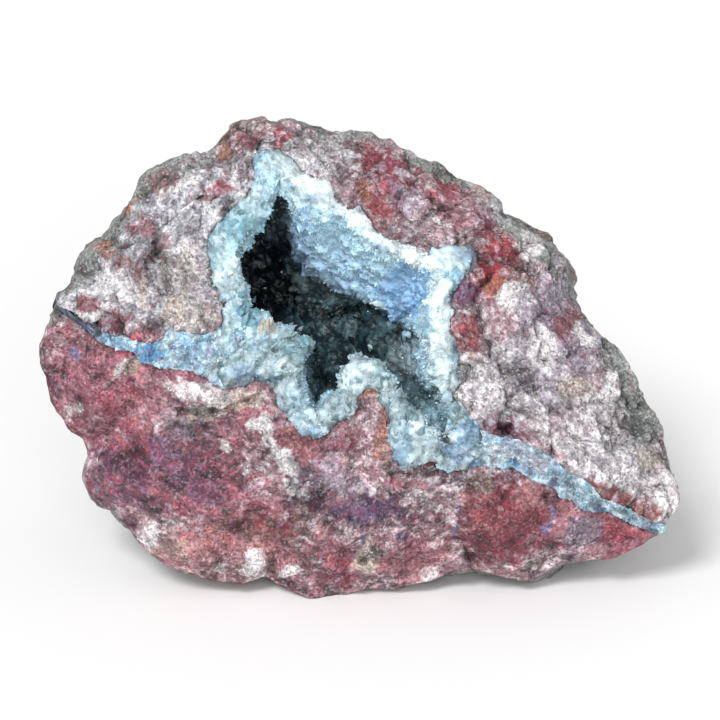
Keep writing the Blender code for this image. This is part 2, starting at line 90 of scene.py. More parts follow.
# Outer edge of the stone, clockwise from its top, one line for each stretch
OUTLINE_MM = (
    ((-20.5, 55), (-17.5, 55.5), (-9, 53.5)),
    ((0, 53.5), (7, 51.5), (15, 46.5), (19, 46), (26, 41), (32, 38), (35.5, 32.5)),
    ((42.5, 28.5), (47.5, 23.5), (48.5, 19.5), (47.5, 14.5), (50.5, 12), (55.5, 6.5)),
    ((61.5, 1.5), (64, -4), (68, -11), (71.5, -17.5), (72, -21.5), (74, -29)),
    ((75, -33), (70.5, -40), (64.5, -44.5), (56.5, -47), (47, -47.5), (41, -51.5),
     (32.5, -51), (26, -49), (19, -51)),
    ((9.5, -53.5), (1.5, -54.5)),
    ((-3, -55.3), (-6, -56), (-13.5, -55.5)),
    ((-18.5, -53), (-21.5, -51), (-26, -52.5), (-32, -52)),
    ((-39.5, -50.5), (-46.5, -47.5), (-51, -43.5), (-56, -37), (-61, -34), (-64.5, -28.5),
     (-63, -20.5), (-67.5, -17)),
    ((-71.5, -11.5), (-73, -5), (-75, 1.5)),
    ((-73, 8), (-71, 14.5), (-67.5, 18)),
    ((-64, 24), (-59, 28.5), (-55.5, 33.5), (-53.5, 36.5)),
    ((-50, 42.5), (-44, 46.5), (-36, 48), (-32.5, 51), (-28.5, 54.5), (-23.5, 56)),
)

# Where the rock meets the crust on the face; the wedge of rock points up between stretches 6 and 7
CONTACT_MM = (
    ((-19.5, 49.5), (-15.5, 46), (-11, 42.5), (-7, 41)),
    ((-6, 37), (-2.5, 34.5), (0.5, 35.5), (3.5, 30), (10.5, 26.5), (16.5, 24), (23, 26.5)),
    ((26.5, 23.5), (23.5, 18), (21.5, 12.5), (21, 8)),
    ((23, 2.5), (22.5, -5), (21.5, -8.5), (24.5, -12.5)),
    ((27.5, -16), (28.5, -20.5), (26, -25), (21.5, -25.5), (17, -24), (13, -25)),
    ((10.5, -26), (8.6, -24), (8, -21), (7.4, -16.5), (6.6, -12.5), (5, -8.5)),
    ((2.5, -6.5), (0, -8.5), (-1, -12.5), (-4.5, -14.5), (-8, -17.5)),
    ((-10.5, -19), (-13.5, -17), (-16.5, -13.5), (-19.5, -9)),
    ((-20.5, -6.5), (-23.5, -5.5), (-28, -6.5)),
    ((-31.5, -6.5), (-32.5, -0.5)),
    ((-32, 6), (-31.5, 9.5), (-32.5, 15), (-34.5, 21)),
    ((-35.5, 26.5), (-33.5, 30.5)),
    ((-29, 35.5), (-25.5, 38.5), (-24, 42.5), (-25, 45.5), (-23.5, 47.5)),
)

# Edge of the hollow itself, inside the pale rim band
OPENING_MM = (
    ((-18.5, 41.5), (-16.5, 38), (-14, 34.5)),
    ((-8, 33), (-3.5, 32), (1.5, 27.5), (9.5, 23.5), (14.5, 22)),
    ((17.5, 18), (17, 12.5), (15, 8)),
    ((16, 2.5), (17.5, -1.5), (17, -5.5), (19, -8.5), (21, -12)),
    ((22.5, -16.5), (21, -18.5), (18, -17), (14.5, -14.5)),
    ((11.5, -10.5), (9, -7), (7, -3), (4, -0.5)),
    ((0.5, 0.5), (-1, -0.5), (-3.5, -3.5), (-4, -7.5), (-7, -9.5)),
    ((-10.5, -12.5), (-12.5, -10.5), (-13.5, -6.5), (-14.5, -2.5), (-13, 0.5)),
    ((-11, 3), (-14.5, 5.5), (-19.5, 7.5)),
    ((-21.5, 10), (-25.5, 11)),
    ((-27, 14), (-27.5, 20.5)),
    ((-28.5, 24), (-26, 27.5)),
    ((-22.5, 33), (-20.5, 37.5)),
)

# Where the hollow's wall turns into its floor: u, v, w at the start of each stretch
SHOULDER_MM = (
    (-20, 34.5, -20), (-9.5, 21, -26), (11.5, 10, -24), (8, 4, -24),
    (15, -9.5, -14), (6.5, -8, -17), (-2, -4, -21), (-9.5, -9, -18),
    (-14, 2.5, -22), (-23.5, 8.5, -26), (-29.5, 14, -28), (-30.5, 24.5, -28),
    (-25, 32, -26),
)

# Lumps and hollows of the face: u, v, radius, height (negative: sunk)
FACE_LUMPS_MM = (
    (-49, 21, 17, 5), (-39, 10, 8, 3), (-52, 25.5, 7, 2.5), (-43, 31, 7, 2.5),
    (-31, 42, 8, 2.5), (-3.5, 40, 6, 3.5), (7, 43, 8, -2.5), (13, 37, 6, 2.5),
    (22.5, 32.5, 6, 2), (30, 18, 6, -1.5), (42, 11, 7, 2.5), (42.5, 2, 7, 3),
    (34, -6, 13, 4.5), (39, -12.5, 4.5, -3.5), (34, -16.5, 3, -2.5), (59, -23.5, 13, 3.5),
    (46, -14, 8, 2), (3, -14, 5, 1.5), (-32.5, -9.5, 8, 2.5), (34, -37.5, 12, 4),
    (2, -49, 5, 3.5), (26, -46, 3, -4), (-38, -47, 6, 2.5), (-24, -48, 4, 2.5),
    (-60, -2, 9, 2.5),
)
LUMP_FALL = 1.7
# Grain, height and seed of the bumps on the face and on the skin
FACE_GRAIN_MM = ((13.0, 2.4, 1), (6.0, 1.9, 2), (3.5, 0.9, 3))
SKIN_GRAIN_MM = ((21.0, 5.5, 4), (9.0, 3.2, 5))
# The lower half of the face is broken off lower than the upper: the step's height and its width
LEDGE_STEP_MM = 3.0
LEDGE_WIDTH_MM = 3.0
# Line of the step between the upper and the lower half of the face
LEDGE_LINE_MM = (
    (-69, 11), (-65, 9), (-60.5, 6), (-54.5, 3.5), (-49, 1), (-42, 0.5), (-33.5, 0),
    (-25.5, 1), (23, -21), (28.5, -20.5), (35.5, -21.5), (42.5, -25), (48, -28.5), (53, -32),
    (58.5, -34.5), (64.5, -37.5), (69, -39.5),
)

# Large odd multipliers that scramble a lattice corner into its own number
LATTICE_PRIMES = (374761393, 668265263, 974634777, 1103515245, 1274126177)

# Turns a lattice so that its rows run askew to the last one's
LATTICE_TURN = np.array(((0.36, 0.48, -0.8), (-0.8, 0.6, 0.0), (0.48, 0.64, 0.6)))

# Width of the camera's view across the stone
FRAME_WIDTH_MM = 166.8

# Edges of both veins on the face, each pair running the same way, from the stone's edge to the hollow
LEFT_VEIN_UPPER_MM = (
    (-70.8, 13.3), (-68.5, 11.7), (-66.4, 10), (-64, 9.6), (-61.7, 7.9), (-57, 4.9), (-54.7, 5.1),
    (-51.2, 4), (-48.8, 3.3), (-45.3, 4.9), (-43.7, 6.1), (-40.7, 6.1), (-36, 4.9), (-33.6, 5.8),
    (-31.5, 7.9), (-27.8, 9.6),
)
LEFT_VEIN_LOWER_MM = (
    (-70.6, 12.1), (-68.5, 10.3), (-66.1, 8.6), (-62.8, 6.1), (-60.5, 4), (-58.6, 3.3), (-55.8, 2.1),
    (-52.3, 1.6), (-51.2, -0.2), (-49.3, -1.2), (-46.5, -1.9), (-41.8, -2.3), (-38.3, -3), (-34.8, -4.9),
    (-32, -6.8), (-29, -6.1), (-25.5, -5.6), (-21.3, -2.6),
)
RIGHT_VEIN_UPPER_MM = (
    (71.7, -38.8), (69.6, -38.1), (66.8, -37.1), (63.3, -35.3), (59.8, -33.6), (56.3, -32.5), (54, -29.4),
    (51.6, -27.8), (48.1, -26.4), (46.3, -24.3), (43.5, -22.4), (41.1, -20.1), (37.6, -18.9), (32.9, -18.2),
    (28.3, -16.6), (26.4, -13.8), (24.3, -11.4), (21.7, -9.1),
)
RIGHT_VEIN_LOWER_MM = (
    (71.7, -40.4), (69.6, -40.7), (67.5, -40), (65.7, -39.3), (62.1, -37.6), (58.6, -35.7), (54, -35.7),
    (51.6, -34.8), (49.8, -32.9), (47, -32.2), (45.8, -30.1), (43.5, -29), (41.1, -28.3), (38.8, -27.1),
    (36.4, -25.5), (32.9, -25.2), (28.3, -25), (24.8, -25.5), (20.6, -26.4), (18, -24.8),
)
VEIN_GROOVE_MM = 3.5
VEIN_GROOVE_EDGE_MM = 0.8

# Cracks of the face: half width, depth, then the points they run through
CRACKS_MM = (
    (0.5, 1.6, (-50.7, 1.6), (-53.5, -0.9), (-55.4, -3.7), (-59.3, -7.2)),
    (0.8, 3, (24.3, -43.5), (25.5, -46), (27.1, -49.3)),
    (0.9, 2, (34.8, -11.4), (38.8, -12.4), (42.8, -14.3)),
    (0.7, 1.5, (-41.4, -11.9), (-36, -12.6), (-30.6, -11.7), (-23.6, -8.6)),
    (0.5, 1.5, (24.8, -25), (25.2, -27.8), (25.9, -30.6)),
    (0.7, 2.2, (-70.8, 12.7), (-66.3, 9.4), (-61.5, 6)),
    (0.5, 1.2, (-47.5, 28), (-46.6, 24)),
    (0.6, 1, (-34.5, 45), (-25, 49.5), (-17, 50.5)),
)
# Pits of the face: u, v, radius, depth
PITS_MM = (
    (33.9, -16.6, 1.4, 2.5), (1.2, -47, 1, 2), (43.9, -31.8, 0.9, 1.6), (45.1, -43.4, 1, 1.6),
    (-38.8, 31.3, 0.8, 1.2), (0.2, 48.8, 1.4, 1.2), (5.6, 32.5, 1.2, 1.2),
)


class Mineral(Enum):
    """The colours a stain can have, as sRGB hex."""

    WHITE = "F4F0F2"
    PALE = "B2B4BA"
    ASH = "CECBCF"
    PINK = "B4969E"
    SALMON = "BA8286"
    ROSE = "A46474"
    RED = "B24650"
    DEEP = "7E3840"
    MAROON = "6E405C"
    PURPLE = "644A70"
    LILAC = "9C90A2"
    GREY = "88848C"
    SKIN = "959B98"
    DARK = "3A363C"
    ORANGE = "B27C64"
    BROWN = "8C584E"
    BEIGE = "BEAEA2"
    OLIVE = "848276"
    BLUEGREY = "62749E"
    NAVY = "465278"
    SNOW = "EAF7FA"
    ICE = "D8ECF0"
    FROST = "AEC6CE"
    SKY = "B4D6E8"
    BLUE = "9AC0E4"
    WALL = "AED2F2"
    TEAL = "86B0BE"
    GREYTEAL = "6C8A92"
    DEEPTEAL = "34505A"
    CREAM = "CCC4B4"
    INK = "0C1318"
    AZURE = "62A0D0"


class Zone(Enum):
    """Parts of a surface that flecks of colour keep to."""

    ALL = 0
    PALE = 1
    LOWER = 2
    UPPER_RED = 3
    RIM = 4
    LOW_RIM = 5
    HOLLOW = 6
    DEEP = 7


class Noise(Enum):
    """Patterns that flecks of colour follow."""

    GRAINS = 0
    SMALL = 1
    STREAKS = 2
    PATCHES = 3


@dataclass(frozen=True)
class Fleck:
    """A mineral that shows in one zone where a noise, or its negative (side -1), passes a level.

    It comes in over the ease's width, and goes again where the noise passes until.
    """

    mineral: Mineral
    strength: float
    zone: Zone
    noise: Noise
    side: int
    level: float
    ease: float
    until: float = math.inf


@dataclass(frozen=True)
class Fray:
    """Noise that moves a stain's edge about, in millimetres, and breaks it up, as a share of its size."""

    warp: Layers
    ragged: Layers


# Clusters of large crystals: u, v, spread, count, radius, length, lean to the right, lean up, colour
CRYSTAL_CLUSTERS = (
    (-25, 12, 1.4, 12, 1, 2.2, 0.3, 0.6, Mineral.TEAL),
    (-20.5, 8.4, 1, 9, 0.8, 2.2, 0.3, 0.8, Mineral.CREAM),
    (-16.5, 6.2, 1.6, 12, 0.9, 2, 0.5, 0.6, Mineral.FROST),
    (-13, 3.4, 1.2, 10, 0.9, 1.8, 0.8, 0.3, Mineral.TEAL),
    (-27.2, 25, 0.6, 3, 0.8, 1.6, 0.9, -0.3, Mineral.GREYTEAL),
    (4, 12.2, 0.6, 4, 1, 2, -0.5, 0.1, Mineral.ICE),
    (11.5, 8.2, 1.6, 8, 1.2, 2, -0.5, 0, Mineral.SKY),
    (17.2, -3.4, 1.2, 12, 0.8, 2, -0.9, 0.1, Mineral.ICE),
    (17, 3, 1.4, 10, 0.7, 1.6, -0.9, 0.1, Mineral.ICE),
    (9.8, -8, 1.2, 8, 0.8, 1.8, 0.4, 0.7, Mineral.FROST),
    (0.6, 0.2, 1.4, 9, 0.8, 1, 0, 0.6, Mineral.ICE),
    (-4, -8.4, 1, 8, 0.6, 1.3, -0.7, 0.5, Mineral.FROST),
    (-22.3, 0.6, 1.6, 9, 0.7, 1.4, 0.5, 0.6, Mineral.FROST),
    (-28.5, 3, 1.8, 9, 0.7, 1.3, 0.3, 0.7, Mineral.FROST),
    (-30, 17, 1.6, 8, 0.6, 1.2, 0.7, 0.3, Mineral.FROST),
    (-27.5, 32, 1.8, 7, 0.7, 1.2, 0.7, 0.4, Mineral.TEAL),
)

# Where weathered skin laps onto the face: u and the width of the band, and how far below the middle of
# the face it stops
SKIN_BAND_MM = np.array((
    (-76, 0), (-70, 2.5), (-64, 4), (-50, 2.5), (-36, 2), (-28, 0), (-4, 0),
    (4, 2), (16, 2.6), (32, 3), (42, 4), (50, 4.5), (58, 5), (68, 6), (73, 3),
))
SKIN_BAND_STOPS_BELOW_MM = 21.0
# The lower half of the face is streaked: which way, and how far its pattern is stretched along the
# streaks, as the share that a step along them counts for
STREAK_TURN_DEG = -24.0
STREAK_SHORTENING = 0.3

# Lower edge of the hollow's brightly lit wall, from its left end: u, v
LIT_EDGE_MM = np.array((
    (-16.5, 30), (-15, 26), (-13, 23), (-9, 20.5), (-5, 18), (-1, 16.5), (2, 14.5),
    (5, 12), (9, 9.6), (13, 8.6), (17, 8),
))

# Left of this line the hollow is painted nearly black, a painted shadow under its left rim: u, v
SHADOW_SIDE_MM = np.array(((-18.0, 10.0), (-18.5, 17.0), (-16.5, 27.0), (-15.5, 35.0), (-16.5, 41.0)))

# These lie on top of the rock's grain
TOP_MINERALS = (Mineral.WHITE, Mineral.NAVY, Mineral.BLUEGREY, Mineral.ORANGE, Mineral.OLIVE, Mineral.DEEP,
                Mineral.BEIGE, Mineral.PURPLE, Mineral.LILAC, Mineral.SALMON)

# Stains of the rock, the broad ones first, with a painted highlight and a painted shadow at the ledge: u, v,
# half length, half width, turn in degrees, colour, strength
ROCK_STAINS_AND_SHADE = (
    (-48.8, 25.5, 25.7, 23.4, 0, Mineral.PALE, 1), (-33.6, 38.3, 17.5, 12.9, 20, Mineral.PALE, 1),
    (-62.8, 13.8, 14, 9.3, 30, Mineral.PALE, 0.9), (-13.8, 47.7, 17.5, 6.5, 0, Mineral.PALE, 0.9),
    (-2.1, 48.8, 18.7, 5.6, -5, Mineral.PALE, 0.8), (-3.3, 39.5, 6.1, 6.1, 0, Mineral.PINK, 0.9),
    (21.3, 30.1, 25.7, 14, -30, Mineral.PINK, 0.8), (35.3, 9.1, 18.7, 14, 0, Mineral.PINK, 0.7),
    (34.1, -6.1, 17.5, 11.2, 0, Mineral.ASH, 0.95), (54, -14.3, 21, 10.5, -20, Mineral.ASH, 0.85),
    (59.8, -23.6, 15.2, 9.3, -15, Mineral.ASH, 0.9), (47, 6.8, 10.5, 16.4, -20, Mineral.LILAC, 0.7),
    (-60.5, -6.1, 17.5, 17.5, 0, Mineral.ROSE, 0.95), (-45.3, -4.9, 16.4, 5.8, 0, Mineral.ROSE, 0.8),
    (-43, -23.6, 19.9, 11.7, -10, Mineral.MAROON, 0.85),
    (-53.5, -28.3, 11.7, 9.3, 0, Mineral.MAROON, 0.7), (-27.8, -18.9, 11.7, 9.3, 0, Mineral.ROSE, 0.9),
    (-13.8, -21.3, 11.7, 7, -20, Mineral.ROSE, 0.8), (4.9, -18.9, 14, 14, 0, Mineral.PINK, 1),
    (9.6, -32.9, 21, 9.3, 0, Mineral.PINK, 0.55), (-30.1, -32.9, 18.7, 7, 0, Mineral.ROSE, 0.6),
    (-27.8, -41.1, 18.7, 5.1, 5, Mineral.BROWN, 0.7), (-37.1, -47, 18.7, 6.5, 0, Mineral.SALMON, 0.45),
    (-6.8, -48.1, 14, 7, 0, Mineral.ROSE, 0.8), (11.9, -47, 11.7, 5.8, 0, Mineral.ROSE, 0.8),
    (33.4, -37.4, 11.5, 10, 0, Mineral.DEEP, 0.85), (47, -37.6, 11.7, 8.2, 0, Mineral.ROSE, 0.8),
    (61, -40, 11.7, 7, -10, Mineral.ROSE, 0.9), (58.6, -32.9, 11.7, 3.3, -20, Mineral.BROWN, 0.8),
    (-68, 23.1, 12.9, 6.1, 55, Mineral.SKIN, 0.85), (-51.2, 39.5, 21, 4.5, 38, Mineral.SKIN, 0.75),
    (-37.1, 45.3, 14, 3, 22, Mineral.SKIN, 0.6), (16.6, 47, 18.7, 4.3, -22, Mineral.SKIN, 1),
    (32.9, 37.1, 16.4, 4.8, -38, Mineral.SKIN, 1), (43.5, 26.6, 10.5, 4.3, -48, Mineral.SKIN, 0.9),
    (56.3, 9.1, 9.3, 6.6, -50, Mineral.SKIN, 0.9), (65.7, -6.1, 14, 7.9, -62, Mineral.SKIN, 0.95),
    (-3, 49, 15, 5.5, -5, Mineral.GREY, 0.8), (-3.3, 50.7, 11.7, 3.6, -2, Mineral.SKIN, 0.7),
    (8.4, 46.5, 8.2, 7.5, -30, Mineral.RED, 0.8), (9, 44.5, 7.5, 6.5, -30, Mineral.MAROON, 0.5),
    (6.1, 36, 6.1, 5.6, 0, Mineral.RED, 0.8), (22.4, 39, 7, 4.2, 0, Mineral.RED, 0.8),
    (10.7, 37.1, 4.7, 4.7, 0, Mineral.LILAC, 0.7), (22.4, 32.5, 6.1, 4.2, 0, Mineral.PALE, 0.4),
    (24, 33.5, 9, 5, -35, Mineral.ROSE, 0.6), (11.9, 27.8, 9.3, 3.3, -18, Mineral.GREY, 0.6),
    (30.6, 32, 3.3, 2.8, 0, Mineral.MAROON, 0.8), (34.1, 26.6, 5.1, 5.1, 0, Mineral.RED, 0.85),
    (39.5, 26.6, 2.8, 3.3, 0, Mineral.WHITE, 0.85), (30.1, 18.5, 5.6, 5.6, 0, Mineral.RED, 1),
    (31.1, 16.1, 2.8, 2.3, 0, Mineral.ORANGE, 0.7), (24.3, 15.4, 3.3, 2.8, 0, Mineral.PURPLE, 0.8),
    (37.6, 18.2, 4.2, 2.8, 0, Mineral.BROWN, 0.8), (38.1, 17.5, 1.6, 1.4, 0, Mineral.BEIGE, 0.8),
    (36.9, 14.3, 5.1, 3.3, 0, Mineral.WHITE, 0.85), (41.6, 11, 5.6, 4.7, 0, Mineral.LILAC, 0.6),
    (25.5, 5.6, 3.7, 4.7, 0, Mineral.RED, 0.75), (42.3, 2.1, 4.7, 5.1, 0, Mineral.WHITE, 0.85),
    (48.6, 8.6, 2.6, 5.6, 0, Mineral.DEEP, 0.7), (49.3, 2.1, 3.3, 2.8, 0, Mineral.LILAC, 0.7),
    (52.8, 5.6, 1.9, 2.8, 0, Mineral.WHITE, 0.95), (58.6, -7.2, 2.8, 2.8, 0, Mineral.WHITE, 0.95),
    (49.3, -6.1, 4.7, 2.8, 0, Mineral.BEIGE, 0.7), (32.9, -16.1, 5.1, 2.8, 0, Mineral.MAROON, 0.8),
    (45.8, -14.3, 9.3, 4.7, 0, Mineral.PINK, 0.6), (68, -23.6, 4.2, 3.3, 0, Mineral.BEIGE, 0.6),
    (72.2, -32.2, 2.3, 4.7, 0, Mineral.WHITE, 0.85), (0.4, 38.8, 1.4, 1.6, 0, Mineral.ORANGE, 0.9),
    (-17.8, 52.1, 3, 2.8, 0, Mineral.RED, 0.8), (-25, 51.6, 5.6, 2.1, 0, Mineral.DEEP, 0.7),
    (-23.6, 54, 3.3, 1.9, 0, Mineral.BEIGE, 0.5), (-31.5, 49.3, 2.2, 1.6, 20, Mineral.ORANGE, 0.8),
    (-53.7, 35, 2.3, 2.1, 0, Mineral.ORANGE, 0.85), (-59.3, 26.2, 2.1, 2.3, 0, Mineral.ORANGE, 0.85),
    (-58.6, 24.1, 1.6, 1.9, -50, Mineral.BROWN, 0.8), (-45.3, 41.4, 3.7, 2.1, 50, Mineral.DEEP, 0.6),
    (-34.3, 39, 4.7, 2.1, 20, Mineral.ROSE, 0.75), (-32, 40.9, 2.3, 1.4, 0, Mineral.RED, 0.6),
    (-50.5, 30.1, 3.3, 2.3, 0, Mineral.ROSE, 0.8), (-45.3, 27.8, 2.3, 1.9, 0, Mineral.ROSE, 0.5),
    (-53.3, 20.8, 4.2, 2.8, -20, Mineral.BROWN, 0.7), (-49.8, 16.1, 1.4, 3.7, 10, Mineral.BEIGE, 0.8),
    (-42.5, 11, 3, 3, 0, Mineral.BEIGE, 0.8), (-36, 10.3, 4.2, 3.3, 0, Mineral.BEIGE, 0.4),
    (-62.8, 13.3, 3.7, 1.6, 0, Mineral.DEEP, 0.7), (-49.3, 4.9, 3.7, 1.6, 0, Mineral.ROSE, 0.8),
    (-58.9, 6.3, 3.3, 2.1, -20, Mineral.MAROON, 0.9), (-64, 11, 3.3, 1.2, 0, Mineral.WHITE, 0.75),
    (-40.7, 20.8, 5.6, 7, 0, Mineral.BEIGE, 0.4), (-47, 25.9, 0.9, 2.8, 10, Mineral.DARK, 0.7),
    (-38.8, 31.3, 1.2, 0.9, 0, Mineral.DARK, 0.6), (-48.8, 21.3, 3.3, 2.3, 0, Mineral.GREY, 0.6),
    (-34.8, 43, 5.6, 2.1, 25, Mineral.GREY, 0.7), (-40.7, 41.8, 5.1, 1.9, 20, Mineral.WHITE, 0.75),
    (-44.2, 48.8, 6.1, 1.9, 28, Mineral.PALE, 0.5), (-58.2, 17.3, 5.1, 2.3, 0, Mineral.WHITE, 0.65),
    (-25.5, 40.7, 2.3, 2.8, 0, Mineral.PINK, 0.6), (-27.8, 45.3, 3.7, 3.7, 0, Mineral.GREY, 0.5),
    (-9.1, 46.5, 4.7, 2.8, 0, Mineral.WHITE, 0.4), (-4.4, 48.4, 3.3, 1.9, 0, Mineral.WHITE, 0.4),
    (0.2, 49.3, 3.3, 1.9, -20, Mineral.DARK, 0.4), (-64.5, 4.9, 5.1, 1.9, -25, Mineral.SALMON, 0.6),
    (-66.6, 0.7, 1.9, 2.1, 0, Mineral.BLUEGREY, 0.75), (-69.9, -14.3, 3.3, 3.7, 0, Mineral.SALMON, 0.5),
    (-67.5, -11.9, 1.9, 2.3, 0, Mineral.WHITE, 0.55), (-53.5, 3.3, 3.7, 2.3, 0, Mineral.RED, 0.6),
    (-52.3, -2.1, 3.7, 1.9, 15, Mineral.BEIGE, 0.7), (-55.4, -3, 4.7, 0.7, 40, Mineral.WHITE, 0.65),
    (-39, -7, 7, 2.6, 0, Mineral.WHITE, 0.75), (-32.5, -10.7, 9.8, 2.1, 12, Mineral.BEIGE, 0.8),
    # A painted highlight along the ledge's top, then a painted shadow line under it
    (-33.6, -10, 5.1, 1.2, 12, Mineral.WHITE, 0.75), (-37.1, -12.4, 6.1, 0.9, 10, Mineral.GREY, 0.7),
    (-46.5, -14.3, 9.3, 4.7, 0, Mineral.GREY, 0.55), (-38.5, -15.5, 8, 3.2, -10, Mineral.GREY, 0.6),
    (-51.2, -18.9, 5.1, 7.5, 20, Mineral.RED, 0.55), (-55.8, -9.6, 5.6, 3.3, 20, Mineral.DEEP, 0.6),
    (-48.8, -27.1, 9.3, 4.2, 0, Mineral.MAROON, 0.8), (-22.7, -15.7, 2.3, 2.6, 0, Mineral.WHITE, 1),
    (-31.3, -20.1, 1.6, 1.6, 0, Mineral.WHITE, 0.75), (-23.6, -20.6, 7, 0.9, -12, Mineral.RED, 0.5),
    (-17.8, -23.1, 6.1, 1.9, -38, Mineral.WHITE, 1), (-21.3, -18.9, 3, 1.1, -48, Mineral.WHITE, 1),
    (-15, -26.8, 3.4, 1.2, -40, Mineral.WHITE, 1), (-14.3, -30.6, 2.8, 1.4, -30, Mineral.WHITE, 0.85),
    (-6.5, -27.6, 7.5, 3.4, -15, Mineral.LILAC, 0.7), (-45, -20.5, 5, 3.2, -30, Mineral.PURPLE, 0.45),
    (-37, -30.5, 7, 2.2, -20, Mineral.PURPLE, 0.35), (-22, -24, 9, 4.5, -35, Mineral.PINK, 0.75),
    (-13.8, -18.9, 5.6, 3.3, -25, Mineral.BROWN, 0.7), (2.1, -34.8, 7.9, 3.3, 0, Mineral.PURPLE, 0.9),
    (-3.3, -20.8, 3.7, 2.8, 0, Mineral.ROSE, 0.6), (-4.4, -32.9, 4.7, 2.8, 0, Mineral.MAROON, 0.6),
    (0.2, -41.1, 1.4, 1.4, 0, Mineral.NAVY, 0.8), (10.7, -41.6, 1.4, 1.4, 0, Mineral.NAVY, 0.8),
    (-22.7, -35.7, 3.7, 2.1, 0, Mineral.ROSE, 0.8), (-25.5, -41.6, 12.1, 2.3, 3, Mineral.BROWN, 0.4),
    (-22, -46.5, 12, 4, 0, Mineral.SALMON, 0.55), (-38.3, -46.3, 9.3, 3.7, 0, Mineral.SALMON, 0.4),
    (-44.2, -43.5, 4.7, 2.8, 0, Mineral.BEIGE, 0.35), (-49.1, -41.1, 2.6, 2.3, 0, Mineral.WHITE, 0.85),
    (-24.3, -48.1, 3.3, 3.3, 0, Mineral.WHITE, 0.85), (-11.4, -48.1, 2.8, 2.3, 0, Mineral.PALE, 0.8),
    (-5.6, -49.3, 4.2, 3.7, 0, Mineral.RED, 0.6), (-16, -50, 2.6, 1.6, 0, Mineral.WHITE, 0.8),
    (-33, -48.8, 2.8, 1.4, 15, Mineral.WHITE, 0.7), (1.9, -46.8, 2.4, 5.4, 6, Mineral.BEIGE, 1),
    (16.6, -50.5, 2.8, 1.6, 0, Mineral.WHITE, 0.95), (11.9, -48.1, 8.1, 3.8, 0, Mineral.SALMON, 0.5),
    (33, -35, 7, 5, 0, Mineral.DEEP, 0.5), (34.1, -43.5, 8.4, 4.7, 0, Mineral.MAROON, 0.7),
    (40.6, -31.4, 4.2, 4, 10, Mineral.SALMON, 0.55), (27, -31.5, 4, 3, 0, Mineral.SALMON, 0.4),
    (29.2, -29.2, 2.8, 1.9, 0, Mineral.OLIVE, 0.7), (23.1, -36.4, 0.5, 4.7, 0, Mineral.BLUEGREY, 0.8),
    (44.6, -37.8, 0.5, 4.6, 4, Mineral.BLUEGREY, 0.8), (48.1, -36.4, 3.3, 3.3, 0, Mineral.SALMON, 0.5),
    (51.6, -40.7, 5.6, 3.7, 0, Mineral.LILAC, 0.8), (61, -40.7, 5.6, 3.3, 0, Mineral.RED, 0.6),
    (39.3, -49.1, 2.1, 1.6, 0, Mineral.OLIVE, 0.7), (3.7, -11.9, 4.2, 6.1, 0, Mineral.PINK, 0.8),
    (5.8, -15.4, 2.1, 7.9, -12, Mineral.ORANGE, 0.75), (2.3, -6.8, 1.4, 1.9, 0, Mineral.ORANGE, 0.7),
    (-3.3, -18.9, 7, 3.7, 0, Mineral.MAROON, 0.4), (-20.8, -1.9, 1.9, 2.1, 20, Mineral.ORANGE, 0.9),
)
